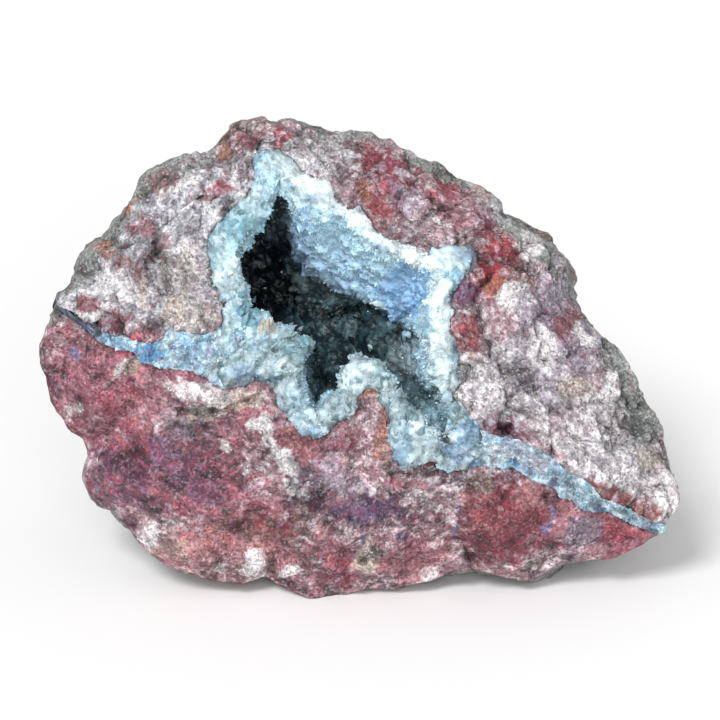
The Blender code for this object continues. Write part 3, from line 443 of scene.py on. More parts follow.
# Stains of the rim band and of the wall
CRUST_STAINS = (
    (-6, 28, 11, 5.6, -15, Mineral.SKY, 0.7), (10.5, 15.5, 7.5, 6, 0, Mineral.AZURE, 0.5),
    (-30.6, 20.8, 3.7, 7.9, 0, Mineral.ICE, 0.45), (-27.8, 32, 6.1, 5.6, 20, Mineral.TEAL, 0.85),
    (-25, 36, 1.9, 6.1, -40, Mineral.FROST, 0.6), (-22.4, 43.7, 3.7, 6.1, 0, Mineral.SKY, 0.8),
    (-23.6, 46.5, 2.3, 2.1, 0, Mineral.TEAL, 0.7), (-18.5, 45.3, 4.2, 3.3, 0, Mineral.ICE, 0.7),
    (-31.3, 11, 4.2, 3.3, 0, Mineral.FROST, 0.7), (-6.8, 40, 13.6, 5.1, -22, Mineral.ICE, 1),
    (8.4, 29.7, 14.5, 3.7, -28, Mineral.ICE, 1), (18.9, 22.7, 7, 3.3, 0, Mineral.ICE, 0.7),
    (25, 22.7, 2.3, 2.8, 0, Mineral.BLUE, 0.6), (19.2, 6.8, 3, 16.8, 0, Mineral.ICE, 1),
    (22.4, 6.8, 1.4, 11.7, 0, Mineral.SKY, 0.6), (-13.1, 29.7, 2.3, 6.1, 0, Mineral.BLUE, 0.5),
    (10, 16.6, 7.9, 6.5, 0, Mineral.BLUE, 0.8), (3.7, 12.9, 1.6, 1.6, 0, Mineral.ICE, 0.9),
    (11.4, 8.6, 3.7, 1.9, 0, Mineral.TEAL, 0.6), (18.9, -11.9, 3.3, 4.7, 0, Mineral.TEAL, 0.5),
    (25.9, -15.4, 4.7, 3.3, -45, Mineral.BLUE, 0.6), (1.2, -2.1, 4.2, 3.3, 0, Mineral.ICE, 0.95),
    (-1.6, -7.7, 5.1, 2.8, -20, Mineral.ICE, 0.6), (-3.3, -12.4, 6.1, 2.1, -15, Mineral.FROST, 0.4),
    (-11, -17.1, 4.2, 2.3, 0, Mineral.BLUE, 0.6), (-11, -18, 1.9, 1.4, 0, Mineral.TEAL, 0.6),
    (-16.1, -6.1, 2.8, 5.1, 0, Mineral.FROST, 0.6), (-13.8, -10.7, 2.3, 4.2, 0, Mineral.SKY, 0.5),
    (9.6, -18.9, 4.7, 5.1, 0, Mineral.SKY, 0.35), (9.6, -21.3, 2.8, 2.8, 0, Mineral.BLUE, 0.5),
    (15.4, -22.4, 3.3, 2.3, 0, Mineral.ICE, 0.7), (22.4, -21.3, 4.7, 3.3, 0, Mineral.BLUE, 0.5),
    (9.6, -8.4, 4.7, 3.3, -40, Mineral.ICE, 0.7), (15.4, -7.9, 2.8, 2.1, -30, Mineral.DEEPTEAL, 0.9),
    (12.4, -10, 3.3, 1.9, -40, Mineral.GREYTEAL, 0.8), (18.9, -14.7, 3.7, 2.8, 0, Mineral.GREYTEAL, 0.8),
    (20.8, -18.2, 1.6, 1.4, 0, Mineral.INK, 0.9), (-24.3, 11.4, 3.7, 2.3, 0, Mineral.TEAL, 0.7),
    (-20.8, 6.8, 1.9, 2.8, 30, Mineral.CREAM, 0.4), (-15, 2.6, 5.1, 2.8, -20, Mineral.GREYTEAL, 0.5),
    (-26.6, 3.3, 6.1, 4.2, 0, Mineral.SKY, 0.6), (-29.7, 2.6, 3.3, 2.3, 0, Mineral.ICE, 0.5),
    (-25.5, -1.4, 5.6, 2.8, 0, Mineral.FROST, 0.7), (-26.6, -3.7, 4.7, 2.3, 0, Mineral.BLUE, 0.6),
    (-34.3, 25.5, 1.4, 3.3, 0, Mineral.TEAL, 0.5), (-22.7, 0.2, 3.3, 2.3, 0, Mineral.TEAL, 0.4),
    (-8, 39, 10, 3.6, -24, Mineral.SNOW, 0.85), (8.6, 27.6, 13, 2.6, -30, Mineral.SNOW, 0.85),
    (19.6, 8, 2, 14, 0, Mineral.SNOW, 0.4),
)
# Patches over the hollow's unlit part, all painted light and shade: the near black ones deepen the painted
# shade, the paler ones are painted light where ledges and crystals catch it
UNLIT_SHADE_PATCHES = (
    (-11.5, 20, 6, 3.6, -25, Mineral.FROST, 0.6), (-5, 16.6, 7, 2.6, -15, Mineral.FROST, 0.8),
    (-7.2, 15.6, 7, 2.8, 8, Mineral.FROST, 0.4), (-14, 8, 3, 6, 0, Mineral.DEEPTEAL, 0.6),
    (-7.2, 15.7, 7, 3.3, 10, Mineral.GREYTEAL, 0.8), (-13.8, 6.8, 9.3, 5.1, 0, Mineral.DEEPTEAL, 0.6),
    (-4.4, 6.8, 6.1, 2.1, 0, Mineral.GREYTEAL, 0.5), (-22.7, 13.8, 3.3, 16.4, 0, Mineral.INK, 0.8),
    (10.7, 5.1, 5.6, 1.9, 0, Mineral.INK, 0.85), (-3.3, -3, 7, 3.7, 0, Mineral.DEEPTEAL, 0.6),
    (-6.8, -6.1, 3.3, 2.3, 0, Mineral.INK, 0.8), (0.2, 1.6, 2.3, 1.6, 0, Mineral.INK, 0.7),
    (11.4, -0.2, 6.1, 5.6, 0, Mineral.FROST, 1), (8.4, -4.4, 2.8, 1.9, -30, Mineral.SKY, 0.5),
    (16.8, -3, 1.4, 2.8, 0, Mineral.INK, 1), (6.1, 3.3, 2.8, 2.3, 0, Mineral.GREYTEAL, 0.7),
    (-9.6, -10, 3.7, 2.8, 0, Mineral.DEEPTEAL, 0.7), (-13.8, 2.1, 4.7, 1.9, -20, Mineral.GREYTEAL, 0.6),
)
# Stains of both veins
VEIN_STAINS = (
    (45.6, -28.6, 2, 1.6, 0, Mineral.NAVY, 0.7), (48.9, -28.6, 2.2, 1.2, -30, Mineral.DEEPTEAL, 0.7),
    (55.4, -34.6, 3.4, 1.2, -30, Mineral.NAVY, 0.7), (61.8, -35.6, 2.6, 1, -30, Mineral.DEEPTEAL, 0.6),
    (68.5, -39.6, 2.4, 1.2, -30, Mineral.DEEPTEAL, 0.8), (25.6, -24, 4, 1.4, 0, Mineral.AZURE, 0.7),
    (37, -24.5, 5, 1.2, -20, Mineral.AZURE, 0.5), (32, -19.5, 4, 1.2, -10, Mineral.BLUE, 0.6),
    (33, -22, 5, 1.6, -15, Mineral.SNOW, 0.7), (42, -24.5, 3, 1.6, -35, Mineral.SNOW, 0.6),
    (50.5, -32, 2.6, 1.4, -35, Mineral.TEAL, 0.7), (38, -22.5, 9, 2.6, -22, Mineral.LILAC, 0.4),
    (-48.8, 1.6, 4, 2.2, 0, Mineral.AZURE, 0.9), (-38, 2.5, 6, 2.5, 0, Mineral.BLUE, 0.5),
    (-32, -2, 5, 3, 0, Mineral.ICE, 0.6), (-57, 3.8, 4, 1.5, -20, Mineral.AZURE, 0.5),
)
# How the edges of each piece's stains fray
ROCK_FRAY = Fray(((7.0, 1.4, 51), (3.0, 1.0, 52), (1.4, 0.7, 53)),
                 ((2.6, 0.25, 54), (1.2, 0.28, 55), (0.7, 0.2, 56)))
CRUST_FRAY = Fray(((6.0, 1.4, 111), (2.2, 0.9, 112)), ((3.0, 0.3, 113), (1.2, 0.3, 114)))
DEEP_FRAY = Fray(((4.0, 1.2, 115), (1.6, 0.7, 116)), ((2.0, 0.3, 117), (1.0, 0.3, 118)))
VEIN_FRAY = Fray(((2.2, 0.9, 112),), ((1.6, 0.4, 115),))
# How far out a stain's edge ends, as a share of the stain's size
STAIN_REACH = 1.15
# Moves noises to other parts of space, so that they don't follow one another
OTHER_NOISE_MM = (211.0, 97.0)
CREASE_NOISE_MM = 31.0

# Flecks of the rock, the rim band, the unlit hollow and the veins: mineral, strength, zone, noise, side,
# level and ease
ROCK_FLECKS = (
    Fleck(Mineral.WHITE, 0.45, Zone.PALE, Noise.GRAINS, 1, 0.5, 0.1),
    Fleck(Mineral.GREY, 0.5, Zone.PALE, Noise.GRAINS, -1, 0.5, 0.1),
    Fleck(Mineral.LILAC, 0.4, Zone.PALE, Noise.SMALL, -1, 0.5, 0.1, until=0.9),
    Fleck(Mineral.ROSE, 0.3, Zone.LOWER, Noise.STREAKS, 1, 0.1, 0.3),
    Fleck(Mineral.RED, 0.4, Zone.LOWER, Noise.STREAKS, 1, 0.4, 0.2),
    Fleck(Mineral.MAROON, 0.6, Zone.LOWER, Noise.STREAKS, -1, 0.1, 0.3),
    Fleck(Mineral.SALMON, 0.35, Zone.LOWER, Noise.PATCHES, 1, 0.15, 0.3),
    Fleck(Mineral.PURPLE, 0.5, Zone.LOWER, Noise.STREAKS, -1, 0.45, 0.2),
    Fleck(Mineral.LILAC, 0.35, Zone.LOWER, Noise.SMALL, 1, 0.72, 0.08),
    Fleck(Mineral.PALE, 0.6, Zone.UPPER_RED, Noise.SMALL, 1, 0.55, 0.1),
    Fleck(Mineral.DEEP, 0.6, Zone.UPPER_RED, Noise.SMALL, -1, 0.4, 0.1),
    Fleck(Mineral.DARK, 0.5, Zone.LOWER, Noise.SMALL, -1, 0.78, 0.08),
    Fleck(Mineral.WHITE, 0.5, Zone.PALE, Noise.SMALL, 1, 0.7, 0.08),
    Fleck(Mineral.DARK, 0.5, Zone.PALE, Noise.SMALL, -1, 0.85, 0.08),
)
RIM_FLECKS = (
    Fleck(Mineral.ICE, 0.5, Zone.RIM, Noise.GRAINS, 1, 0.2, 0.2),
    Fleck(Mineral.TEAL, 0.7, Zone.RIM, Noise.GRAINS, -1, 0.3, 0.2),
    Fleck(Mineral.BLUE, 0.5, Zone.RIM, Noise.SMALL, 1, 0.5, 0.1),
    Fleck(Mineral.GREYTEAL, 0.6, Zone.RIM, Noise.SMALL, -1, 0.5, 0.1),
    Fleck(Mineral.SNOW, 0.55, Zone.LOW_RIM, Noise.SMALL, 1, 0.1, 0.2),
    Fleck(Mineral.GREYTEAL, 0.5, Zone.LOW_RIM, Noise.SMALL, -1, 0.35, 0.15),
)
# In the unlit hollow: near black flecks are painted shade between crystals, grey-teal ones painted light
DEEP_FLECKS = (
    Fleck(Mineral.INK, 0.65, Zone.DEEP, Noise.GRAINS, -1, 0.1, 0.15),
    Fleck(Mineral.GREYTEAL, 0.45, Zone.HOLLOW, Noise.SMALL, 1, 0.35, 0.15),
)
VEIN_FLECKS = (
    Fleck(Mineral.LILAC, 0.5, Zone.ALL, Noise.SMALL, 1, 0.55, 0.1),
    Fleck(Mineral.NAVY, 0.35, Zone.ALL, Noise.SMALL, -1, 0.75, 0.1),
)
# Patches of the weathered skin: colour, grain, seed and the level from which they show
SKIN_PATCHES = (
    (Mineral.PALE, 9, 61, 0.15), (Mineral.BROWN, 14, 62, 0.45), (Mineral.PINK, 7, 63, 0.5),
    (Mineral.DARK, 5, 64, 0.35),
)
# How pale the skin counts for the finest grains
SKIN_PALENESS = 0.6
# Patches of the veins: colour, grain and seed
VEIN_PATCHES = (
    (Mineral.BLUE, 2.6, 141), (Mineral.FROST, 2, 142), (Mineral.TEAL, 3, 143), (Mineral.ICE, 1.6, 144),
)
# Colours of the hollow by millimetres below the face, where light falls in and where it doesn't
LIT_BY_DEPTH = ((0.0, Mineral.FROST), (5.0, Mineral.SKY), (14.0, Mineral.SKY), (28.0, Mineral.WALL))
UNLIT_BY_DEPTH = (
    (10, Mineral.GREYTEAL), (20, Mineral.GREYTEAL), (32, Mineral.DEEPTEAL), (44, Mineral.INK),
)
# How much of its light the unlit part keeps
UNLIT_DARKNESS = 0.72
# Width of the lit wall's lower edge: at these u, these widths
LIT_FADE_MM = ((-14.0, 4.0), (6.0, 1.2))
# How much of a finish's specks are left on dark and on pale ground
MOSTLY_ON_DARK = (1.0, 0.1)
MOSTLY_ON_PALE = (0.25, 1.0)
ON_ANY_GROUND = (1.0, 1.0)
# Upper and lower edge of the left and of the right vein
VEIN_EDGES = (
    (np.array(LEFT_VEIN_UPPER_MM), np.array(LEFT_VEIN_LOWER_MM)),
    (np.array(RIGHT_VEIN_UPPER_MM), np.array(RIGHT_VEIN_LOWER_MM)),
)


def linear(code: str) -> tuple[float, float, float]:
    """Turns an sRGB hex colour into linear light.

    Args:
        code: Six hex digits, two each for red, green and blue.

    Returns:
        Red, green and blue from 0 to 1.
    """
    shades = (int(code[i:i + 2], 16) / 255 for i in (0, 2, 4))
    return tuple(c / 12.92 if c <= 0.04045 else ((c + 0.055) / 1.055) ** 2.4 for c in shades)


def smooth(share: np.ndarray) -> np.ndarray:
    """An S-shaped ease of shares, held between 0 and 1.

    Args:
        share: Any numbers.

    Returns:
        3 s squared minus 2 s cubed of each share.
    """
    held = np.clip(share, 0.0, 1.0)
    return held * held * (3 - 2 * held)


def paleness(colour: np.ndarray) -> np.ndarray:
    """How pale colours are, from 0 to 1: an ease of the mean of red, green and blue."""
    return smooth((colour.mean(axis=1) - 0.2) / 0.25)


def spaced(curve: np.ndarray, count: int, whole: bool) -> np.ndarray:
    """Evenly spaced points along a flat curve.

    Args:
        curve: The curve's points, (m, 2).
        count: How many points to give.
        whole: Whether the last one is the curve's end, or one step before it.

    Returns:
        Flat points, (count, 2).
    """
    length = np.concatenate([[0], np.cumsum(np.linalg.norm(np.diff(curve, axis=0), axis=1))])
    at = np.linspace(0, length[-1], count, endpoint=whole)
    return np.column_stack([np.interp(at, length, curve[:, 0]), np.interp(at, length, curve[:, 1])])


def outline_ring(stretches: Sequence, per_point: int = 24) -> np.ndarray:
    """One point for each column, evenly spaced along each stretch of a closed Catmull-Rom curve.

    Args:
        stretches: The outline's points, one group for each stretch.
        per_point: How finely the curve is walked between two of its points.

    Returns:
        Flat points, (columns, 2).
    """
    points = np.array([p for stretch in stretches for p in stretch])
    ring = []
    first = 0
    t = (np.arange(per_point) / per_point)[:, None]
    for stretch, span in zip(stretches, SPANS):
        curve = []
        for i in range(first, first + len(stretch)):
            a, b, c, d = (points[(i + k) % len(points)] for k in (-1, 0, 1, 2))
            curve.append(0.5 * (2 * b + (c - a) * t + (2 * a - 5 * b + 4 * c - d) * t * t
                                + (3 * b - a - 3 * c + d) * t ** 3))
        first += len(stretch)
        curve = np.vstack(curve + [points[first % len(points)][None]])
        ring.append(spaced(curve, span * DENSE, whole=False))
    return np.vstack(ring)


def corner_ring(corners: Sequence) -> np.ndarray:
    """One point for each column, blended from one corner to the next with an S-shaped ease.

    Args:
        corners: One point for the start of each stretch.

    Returns:
        Points, (columns, 3).
    """
    ring = []
    for i, span in enumerate(SPANS):
        a, b = np.array(corners[i]), np.array(corners[(i + 1) % len(corners)])
        t = (np.arange(span * DENSE) / (span * DENSE))[:, None]
        ring.append(a + (b - a) * (t * t * (3 - 2 * t) + t) / 2)
    return np.vstack(ring)


def lattice_values(cells: np.ndarray, seed: int) -> np.ndarray:
    """A number from -1 to 1 for each cell corner, always the same for the same corner and seed.

    Args:
        cells: Whole-numbered corners, (n, 3).
        seed: Which set of numbers.

    Returns:
        One number for each corner.
    """
    mask = 0xFFFFFFFF
    key = (cells @ np.array(LATTICE_PRIMES[:3]) + seed * LATTICE_PRIMES[3]) & mask
    key = ((key ^ (key >> 13)) * LATTICE_PRIMES[4]) & mask
    key = key ^ (key >> 16)
    return key / 2 ** 31 - 1.0


def bumps(points: np.ndarray, grain: float, seed: int) -> np.ndarray:
    """Smooth bumps with the given grain: corner values of a cubic lattice, eased between.

    Args:
        points: Points in millimetres, (n, 3).
        grain: Size of a lattice cell in millimetres.
        seed: Which set of bumps.

    Returns:
        A height from -1 to 1 for each point.
    """
    place = points / grain
    cells = np.floor(place).astype(np.int64)
    ease = place - cells
    ease = ease * ease * (3 - 2 * ease)
    total = np.zeros(len(points))
    for corner in itertools.product((0, 1), repeat=3):
        weight = np.prod(np.where(np.array(corner) == 1, ease, 1 - ease), axis=1)
        total += weight * lattice_values(cells + np.array(corner), seed)
    return total


def octaves(points: np.ndarray, layers: Sequence, turned: bool = False) -> np.ndarray:
    """Several layers of bumps added up.

    Args:
        points: Points in millimetres, (n, 3).
        layers: Grain, rise and seed of each layer.
        turned: Whether each layer's lattice is turned against the one before, so that no rows show.

    Returns:
        The sum of rise times bumps over the layers.
    """
    total = np.zeros(len(points))
    for grain, rise, seed in layers:
        if turned:
            points = points @ LATTICE_TURN
        total += rise * bumps(points, grain, seed)
    return total

def wandered(points: np.ndarray, layers: Layers, shift: float = 0.0) -> np.ndarray:
    """Points that noise has moved about, along the lattice's diagonal.

    Args:
        points: Points in millimetres, (n, 3).
        layers: The noise.
        shift: Moves the noise to another part of space.

    Returns:
        Points, (n, 3).
    """
    return points + octaves(points + shift, layers)[:, None]


def near_centres(points: np.ndarray, grain: float, seed: int,
                 stray: float) -> Iterator[tuple[np.ndarray, np.ndarray]]:
    """The cells of a cubic lattice at and round each point, each with a centre at a chance place.

    Args:
        points: Points in millimetres, (n, 3).
        grain: Size of a lattice cell in millimetres.
        seed: Which set of centres.
        stray: How far a centre strays from its cell's middle, in cells.

    Yields:
        For each of 27 cells, its whole-numbered corner and the way from its centre to the point, in cells.
    """
    place = points / grain
    cells = np.floor(place).astype(np.int64)
    for corner in itertools.product((-1, 0, 1), repeat=3):
        near = cells + np.array(corner)
        chance = np.stack([lattice_values(near, seed + k) for k in range(3)], axis=1)
        yield near, place - (near + 0.5 + stray * chance)


def facets(points: np.ndarray, grain: float, seed: int) -> np.ndarray:
    """Flat-faced humps packed side by side, like crystals grown into each other.

    Each cell of a cubic lattice holds one crystal centre at a chance place with a chance tilt. A point
    takes the height of the highest crystal near it: 1 less 1.3 times the largest distance from that
    crystal's centre along its three square axes, in cells.

    Args:
        points: Points in millimetres, (n, 3).
        grain: Size of a lattice cell in millimetres.
        seed: Which set of crystals.

    Returns:
        A height from about 0 to 1 for each point.
    """
    best = np.full(len(points), -1.0)
    for near, away in near_centres(points, grain, seed, 0.38):
        turn, roll = (lattice_values(near, seed + k) * math.pi for k in (3, 4))
        x = np.cos(turn) * away[:, 0] + np.sin(turn) * away[:, 1]
        y = -np.sin(turn) * away[:, 0] + np.cos(turn) * away[:, 1]
        y, z = np.cos(roll) * y + np.sin(roll) * away[:, 2], -np.sin(roll) * y + np.cos(roll) * away[:, 2]
        best = np.maximum(best, 1.0 - np.maximum(np.maximum(np.abs(x), np.abs(y)), np.abs(z)) * 1.3)
    return best


def cell_chance(points: np.ndarray, grain: float, seed: int) -> np.ndarray:
    """A number that is the same all over each of many angular grains packed side by side.

    Each cell of a cubic lattice holds one grain's centre at a chance place; a point belongs to the
    grain whose centre is nearest.

    Args:
        points: Points in millimetres, (n, 3).
        grain: Size of a lattice cell in millimetres.
        seed: Which set of grains.

    Returns:
        A number from -1 to 1 for each point.
    """
    nearest = np.full(len(points), np.inf)
    chance = np.zeros(len(points))
    for near, away in near_centres(points, grain, seed, 0.45):
        gap = np.linalg.norm(away, axis=1)
        chance = np.where(gap < nearest, lattice_values(near, seed + 7), chance)
        nearest = np.minimum(gap, nearest)
    return chance


def ring_inward(ring: np.ndarray) -> np.ndarray:
    """Unit vectors that point from a clockwise ring to its inside, in the plane of the face.

    Args:
        ring: Points of the ring, u and v first.

    Returns:
        One flat vector for each point.
    """
    along = np.roll(ring[:, :2], -DENSE, axis=0) - np.roll(ring[:, :2], DENSE, axis=0)
    along /= np.maximum(np.linalg.norm(along, axis=1, keepdims=True), 1e-6)
    return np.stack([along[:, 1], -along[:, 0]], axis=1)


def ragged_ring(ring: np.ndarray, layers: Sequence) -> np.ndarray:
    """An outline whose edge noise has pushed in and out.

    Args:
        ring: Flat points of the outline.
        layers: Grain, reach and seed of each layer of the noise.

    Returns:
        Flat points.
    """
    spots = np.column_stack([ring, np.zeros(len(ring))])
    return ring + ring_inward(ring) * octaves(spots, layers, turned=True)[:, None]


OUTLINE = ragged_ring(outline_ring(OUTLINE_MM), ((4.0, 0.5, 11), (1.8, 0.3, 12)))
CONTACT = ragged_ring(outline_ring(CONTACT_MM), ((2.8, 0.55, 13), (1.2, 0.35, 14)))
OPENING = ragged_ring(outline_ring(OPENING_MM), ((2.8, 0.7, 15), (1.2, 0.4, 16)))
SHOULDER = corner_ring(SHOULDER_MM)
ANGLE_ORDER = np.argsort(np.arctan2(OUTLINE[:, 1], OUTLINE[:, 0]))
OUTLINE_ANGLES = np.arctan2(OUTLINE[:, 1], OUTLINE[:, 0])[ANGLE_ORDER]
OUTLINE_RADII = np.linalg.norm(OUTLINE, axis=1)[ANGLE_ORDER]


def edge_share(flat: np.ndarray) -> np.ndarray:
    """How far points of the face lie from the middle.

    Args:
        flat: Points, u and v first.

    Returns:
        A share for each point, 1 at the stone's edge.
    """
    angles = np.arctan2(flat[:, 1], flat[:, 0])
    reach = np.interp(angles, OUTLINE_ANGLES, OUTLINE_RADII, period=2 * math.pi)
    return np.minimum(np.hypot(flat[:, 0], flat[:, 1]) / reach, 1.0)


def ledge_line(u: np.ndarray) -> np.ndarray:
    """Height v of the step between the upper and the lower half of the face, along both veins.

    Args:
        u: Places across the face.

    Returns:
        The line's v at each place.
    """
    line = np.array(LEDGE_LINE_MM)
    return np.interp(u, line[:, 0], line[:, 1])


def face_height(flat: np.ndarray) -> np.ndarray:
    """Height of the broken face: a dome that falls off at the edge, with lumps, a step and grain.

    Args:
        flat: Points, u and v first.

    Returns:
        w for each point.
    """
    height = -EDGE_DROP_MM * edge_share(flat) ** EDGE_POWER
    for lump_u, lump_v, radius, rise in FACE_LUMPS_MM:
        distance = np.hypot(flat[:, 0] - lump_u, flat[:, 1] - lump_v) / radius
        height += rise * np.exp(-LUMP_FALL * distance ** 2)
    below = (ledge_line(flat[:, 0]) - flat[:, 1]) / LEDGE_WIDTH_MM
    height -= LEDGE_STEP_MM * np.clip(below + 0.5, 0.0, 1.0)
    points = np.column_stack([flat[:, 0], flat[:, 1], np.zeros(len(flat))])
    return height + octaves(points, FACE_GRAIN_MM)


def route_distance(flat: np.ndarray, route: np.ndarray) -> np.ndarray:
    """Distance of points from a line through several points.

    Args:
        flat: Points, u and v first.
        route: The line's points, (m, 2).

    Returns:
        Millimetres from each point to the nearest part of the line.
    """
    nearest = np.full(len(flat), np.inf)
    for a, b in zip(route[:-1], route[1:]):
        along = b - a
        share = np.clip(((flat[:, :2] - a) @ along) / (along @ along), 0.0, 1.0)
        gap = flat[:, :2] - a - share[:, None] * along
        nearest = np.minimum(nearest, np.hypot(gap[:, 0], gap[:, 1]))
    return nearest


def inside_outline(flat: np.ndarray, outline: np.ndarray) -> np.ndarray:
    """Whether points lie inside a closed outline, by counting the sides to their right.

    Args:
        flat: Points, u and v first.
        outline: The outline's corners, (m, 2).

    Returns:
        True for each point inside.
    """
    inside = np.zeros(len(flat), bool)
    for a, b in zip(outline, np.roll(outline, -1, axis=0)):
        crosses = (a[1] > flat[:, 1]) != (b[1] > flat[:, 1])
        rise = b[1] - a[1] if b[1] != a[1] else 1e-9
        inside ^= crosses & (flat[:, 0] < a[0] + (flat[:, 1] - a[1]) / rise * (b[0] - a[0]))
    return inside


def wall_rings(rim: np.ndarray, rim_height: np.ndarray, shoulder: np.ndarray, shares: Sequence) -> list:
    """Rings down the hollow's wall, from a rim outline to the shoulder that belongs to it.

    Args:
        rim: The rim's flat points.
        rim_height: w of each rim point.
        shoulder: Points where the wall ends.
        shares: How far down each ring lies, from 0 to 1.

    Returns:
        One ring of points for each share.
    """
    rings = []
    for share in shares:
        flat = rim + (shoulder[:, :2] - rim) * share ** WALL_BOW
        rings.append(np.column_stack([flat, rim_height + (shoulder[:, 2] - rim_height) * share]))
    return rings


def floor_rings(shoulder: np.ndarray, pole: Sequence, shares: Sequence) -> list:
    """Rings from the shoulder to the floor's pole, curved like the bottom of a bowl.

    Args:
        shoulder: Points where the wall ends.
        pole: The floor's deepest point.
        shares: How far towards the pole each ring lies.

    Returns:
        One ring of points for each share.
    """
    rings = []
    for share in shares:
        flat = shoulder[:, :2] + (np.array(pole[:2]) - shoulder[:, :2]) * share
        height = shoulder[:, 2] + (pole[2] - shoulder[:, 2]) * math.sin(share * math.pi / 2)
        rings.append(np.column_stack([flat, height]))
    return rings


def pocket_shoulder() -> np.ndarray:
    """The shoulder grown away from the hollow's floor pole by the crust's thickness.

    Returns:
        Points, (columns, 3).
    """
    away = SHOULDER[:, :2] - np.array(HOLLOW_FLOOR_MM[:2])
    away /= np.linalg.norm(away, axis=1, keepdims=True)
    flat = SHOULDER[:, :2] + away * CRUST_WALL_MM
    return np.column_stack([flat, SHOULDER[:, 2] - CRUST_BELOW_SHOULDER_MM])


def grid_normals(grid: np.ndarray, closed: bool) -> np.ndarray:
    """Unit normals of a grid of points, from the differences between neighbours.

    Args:
        grid: Points, (rows, columns, 3).
        closed: Whether the last column meets the first.

    Returns:
        Normals, (rows, columns, 3).
    """
    down = np.gradient(grid, axis=0)
    if closed:
        over = (np.roll(grid, -1, axis=1) - np.roll(grid, 1, axis=1)) / 2
    else:
        over = np.gradient(grid, axis=1)
    normals = np.cross(over, down)
    return normals / np.maximum(np.linalg.norm(normals, axis=2, keepdims=True), 1e-9)


def grid_faces(rows: int, columns: int, closed: bool) -> np.ndarray:
    """Corner numbers of the four-sided faces of a grid.

    Args:
        rows: Rows of points.
        columns: Points in each row.
        closed: Whether the last column meets the first.

    Returns:
        Whole numbers, (faces, 4).
    """
    steps = columns if closed else columns - 1
    row, column = np.meshgrid(np.arange(rows - 1), np.arange(steps), indexing="ij")
    here = (row * columns + column).ravel()
    right = (row * columns + (column + 1) % columns).ravel()
    return np.stack([here, right, right + columns, here + columns], axis=1)


def standing(points: np.ndarray) -> np.ndarray:
    """Turns picture-frame points into row-frame metres, with nothing below the ground.

    Args:
        points: Picture-frame millimetres, (n, 3).

    Returns:
        Row-frame metres, (n, 3).
    """
    lean = math.radians(LEAN_DEG)
    u, v, w = points.T
    y = v * math.sin(lean) - w * math.cos(lean) + PLACE_MM[1]
    z = v * math.cos(lean) + w * math.sin(lean) + FLOOR_CUT_MM
    return np.column_stack([u + PLACE_MM[0], y, np.maximum(z, 0.0)]) * MM


def mixed(colour: np.ndarray, other: np.ndarray | Mineral, amount: np.ndarray) -> np.ndarray:
    """Takes colours some of the way to others: colour plus the difference times the amount.

    Args:
        colour: Linear colours, (n, 3).
        other: Linear colours, or the one mineral to go to.
        amount: How far, for each point.

    Returns:
        Linear colours, (n, 3).
    """
    goal = np.array(linear(other.value)) if isinstance(other, Mineral) else other
    return colour + (goal - colour) * amount[:, None]


def stained_and_shaded(points: np.ndarray, colour: np.ndarray, stains: Sequence, fray: Fray,
            edge: float = 0.6) -> np.ndarray:
    """Lays stains, and patches of painted light and shade, over a colour, each with an edge that noise has
    moved about and broken up.

    Args:
        points: Picture-frame millimetres, (n, 3).
        colour: Linear colours, (n, 3).
        stains: u, v, half length, half width, turn, colour and strength of each stain, and of each patch of
            painted light and shade.
        fray: The noise at the stains' edges.
        edge: How wide a stain's edge is, as a share of its size.

    Returns:
        Linear colours, (n, 3).
    """
    u = points[:, 0] + octaves(points, fray.warp)
    v = points[:, 1] + octaves(points + OTHER_NOISE_MM[0], fray.warp)
    frayed = octaves(points + OTHER_NOISE_MM[1], fray.ragged)
    for at_u, at_v, half_length, half_width, turn, mineral, strength in stains:
        c, s = math.cos(math.radians(turn)), math.sin(math.radians(turn))
        along = (c * (u - at_u) + s * (v - at_v)) / half_length
        across = (-s * (u - at_u) + c * (v - at_v)) / half_width
        share = strength * smooth((STAIN_REACH - np.hypot(along, across) + frayed) / edge)
        colour = mixed(colour, mineral, share)
    return colour


def flecked(colour: np.ndarray, flecks: Sequence[Fleck], zones: dict, noises: dict) -> np.ndarray:
    """Lays flecks over a colour, one kind after the other.

    Args:
        colour: Linear colours, (n, 3).
        flecks: The kinds of fleck.
        zones: How much each point is in each zone, from 0 to 1.
        noises: Each noise's value at each point.

    Returns:
        Linear colours, (n, 3).
    """
    for fleck in flecks:
        noise = noises[fleck.noise] * fleck.side
        amount = fleck.strength * zones[fleck.zone] * smooth((noise - fleck.level) / fleck.ease)
        amount = amount * smooth((fleck.until - noise) / fleck.ease)
        colour = mixed(colour, fleck.mineral, amount)
    return colour


def by_depth(depth: np.ndarray, stops: Sequence) -> np.ndarray:
    """Colours that change with how deep in the hollow a place lies.

    Args:
        depth: Millimetres below the face.
        stops: A depth and the colour that is reached there, for each stop.

    Returns:
        Linear colours, (n, 3).
    """
    shades = np.array([linear(mineral.value) for _, mineral in stops])
    depths = [stop for stop, _ in stops]
    return np.stack([np.interp(depth, depths, shades[:, k]) for k in range(3)], axis=1)


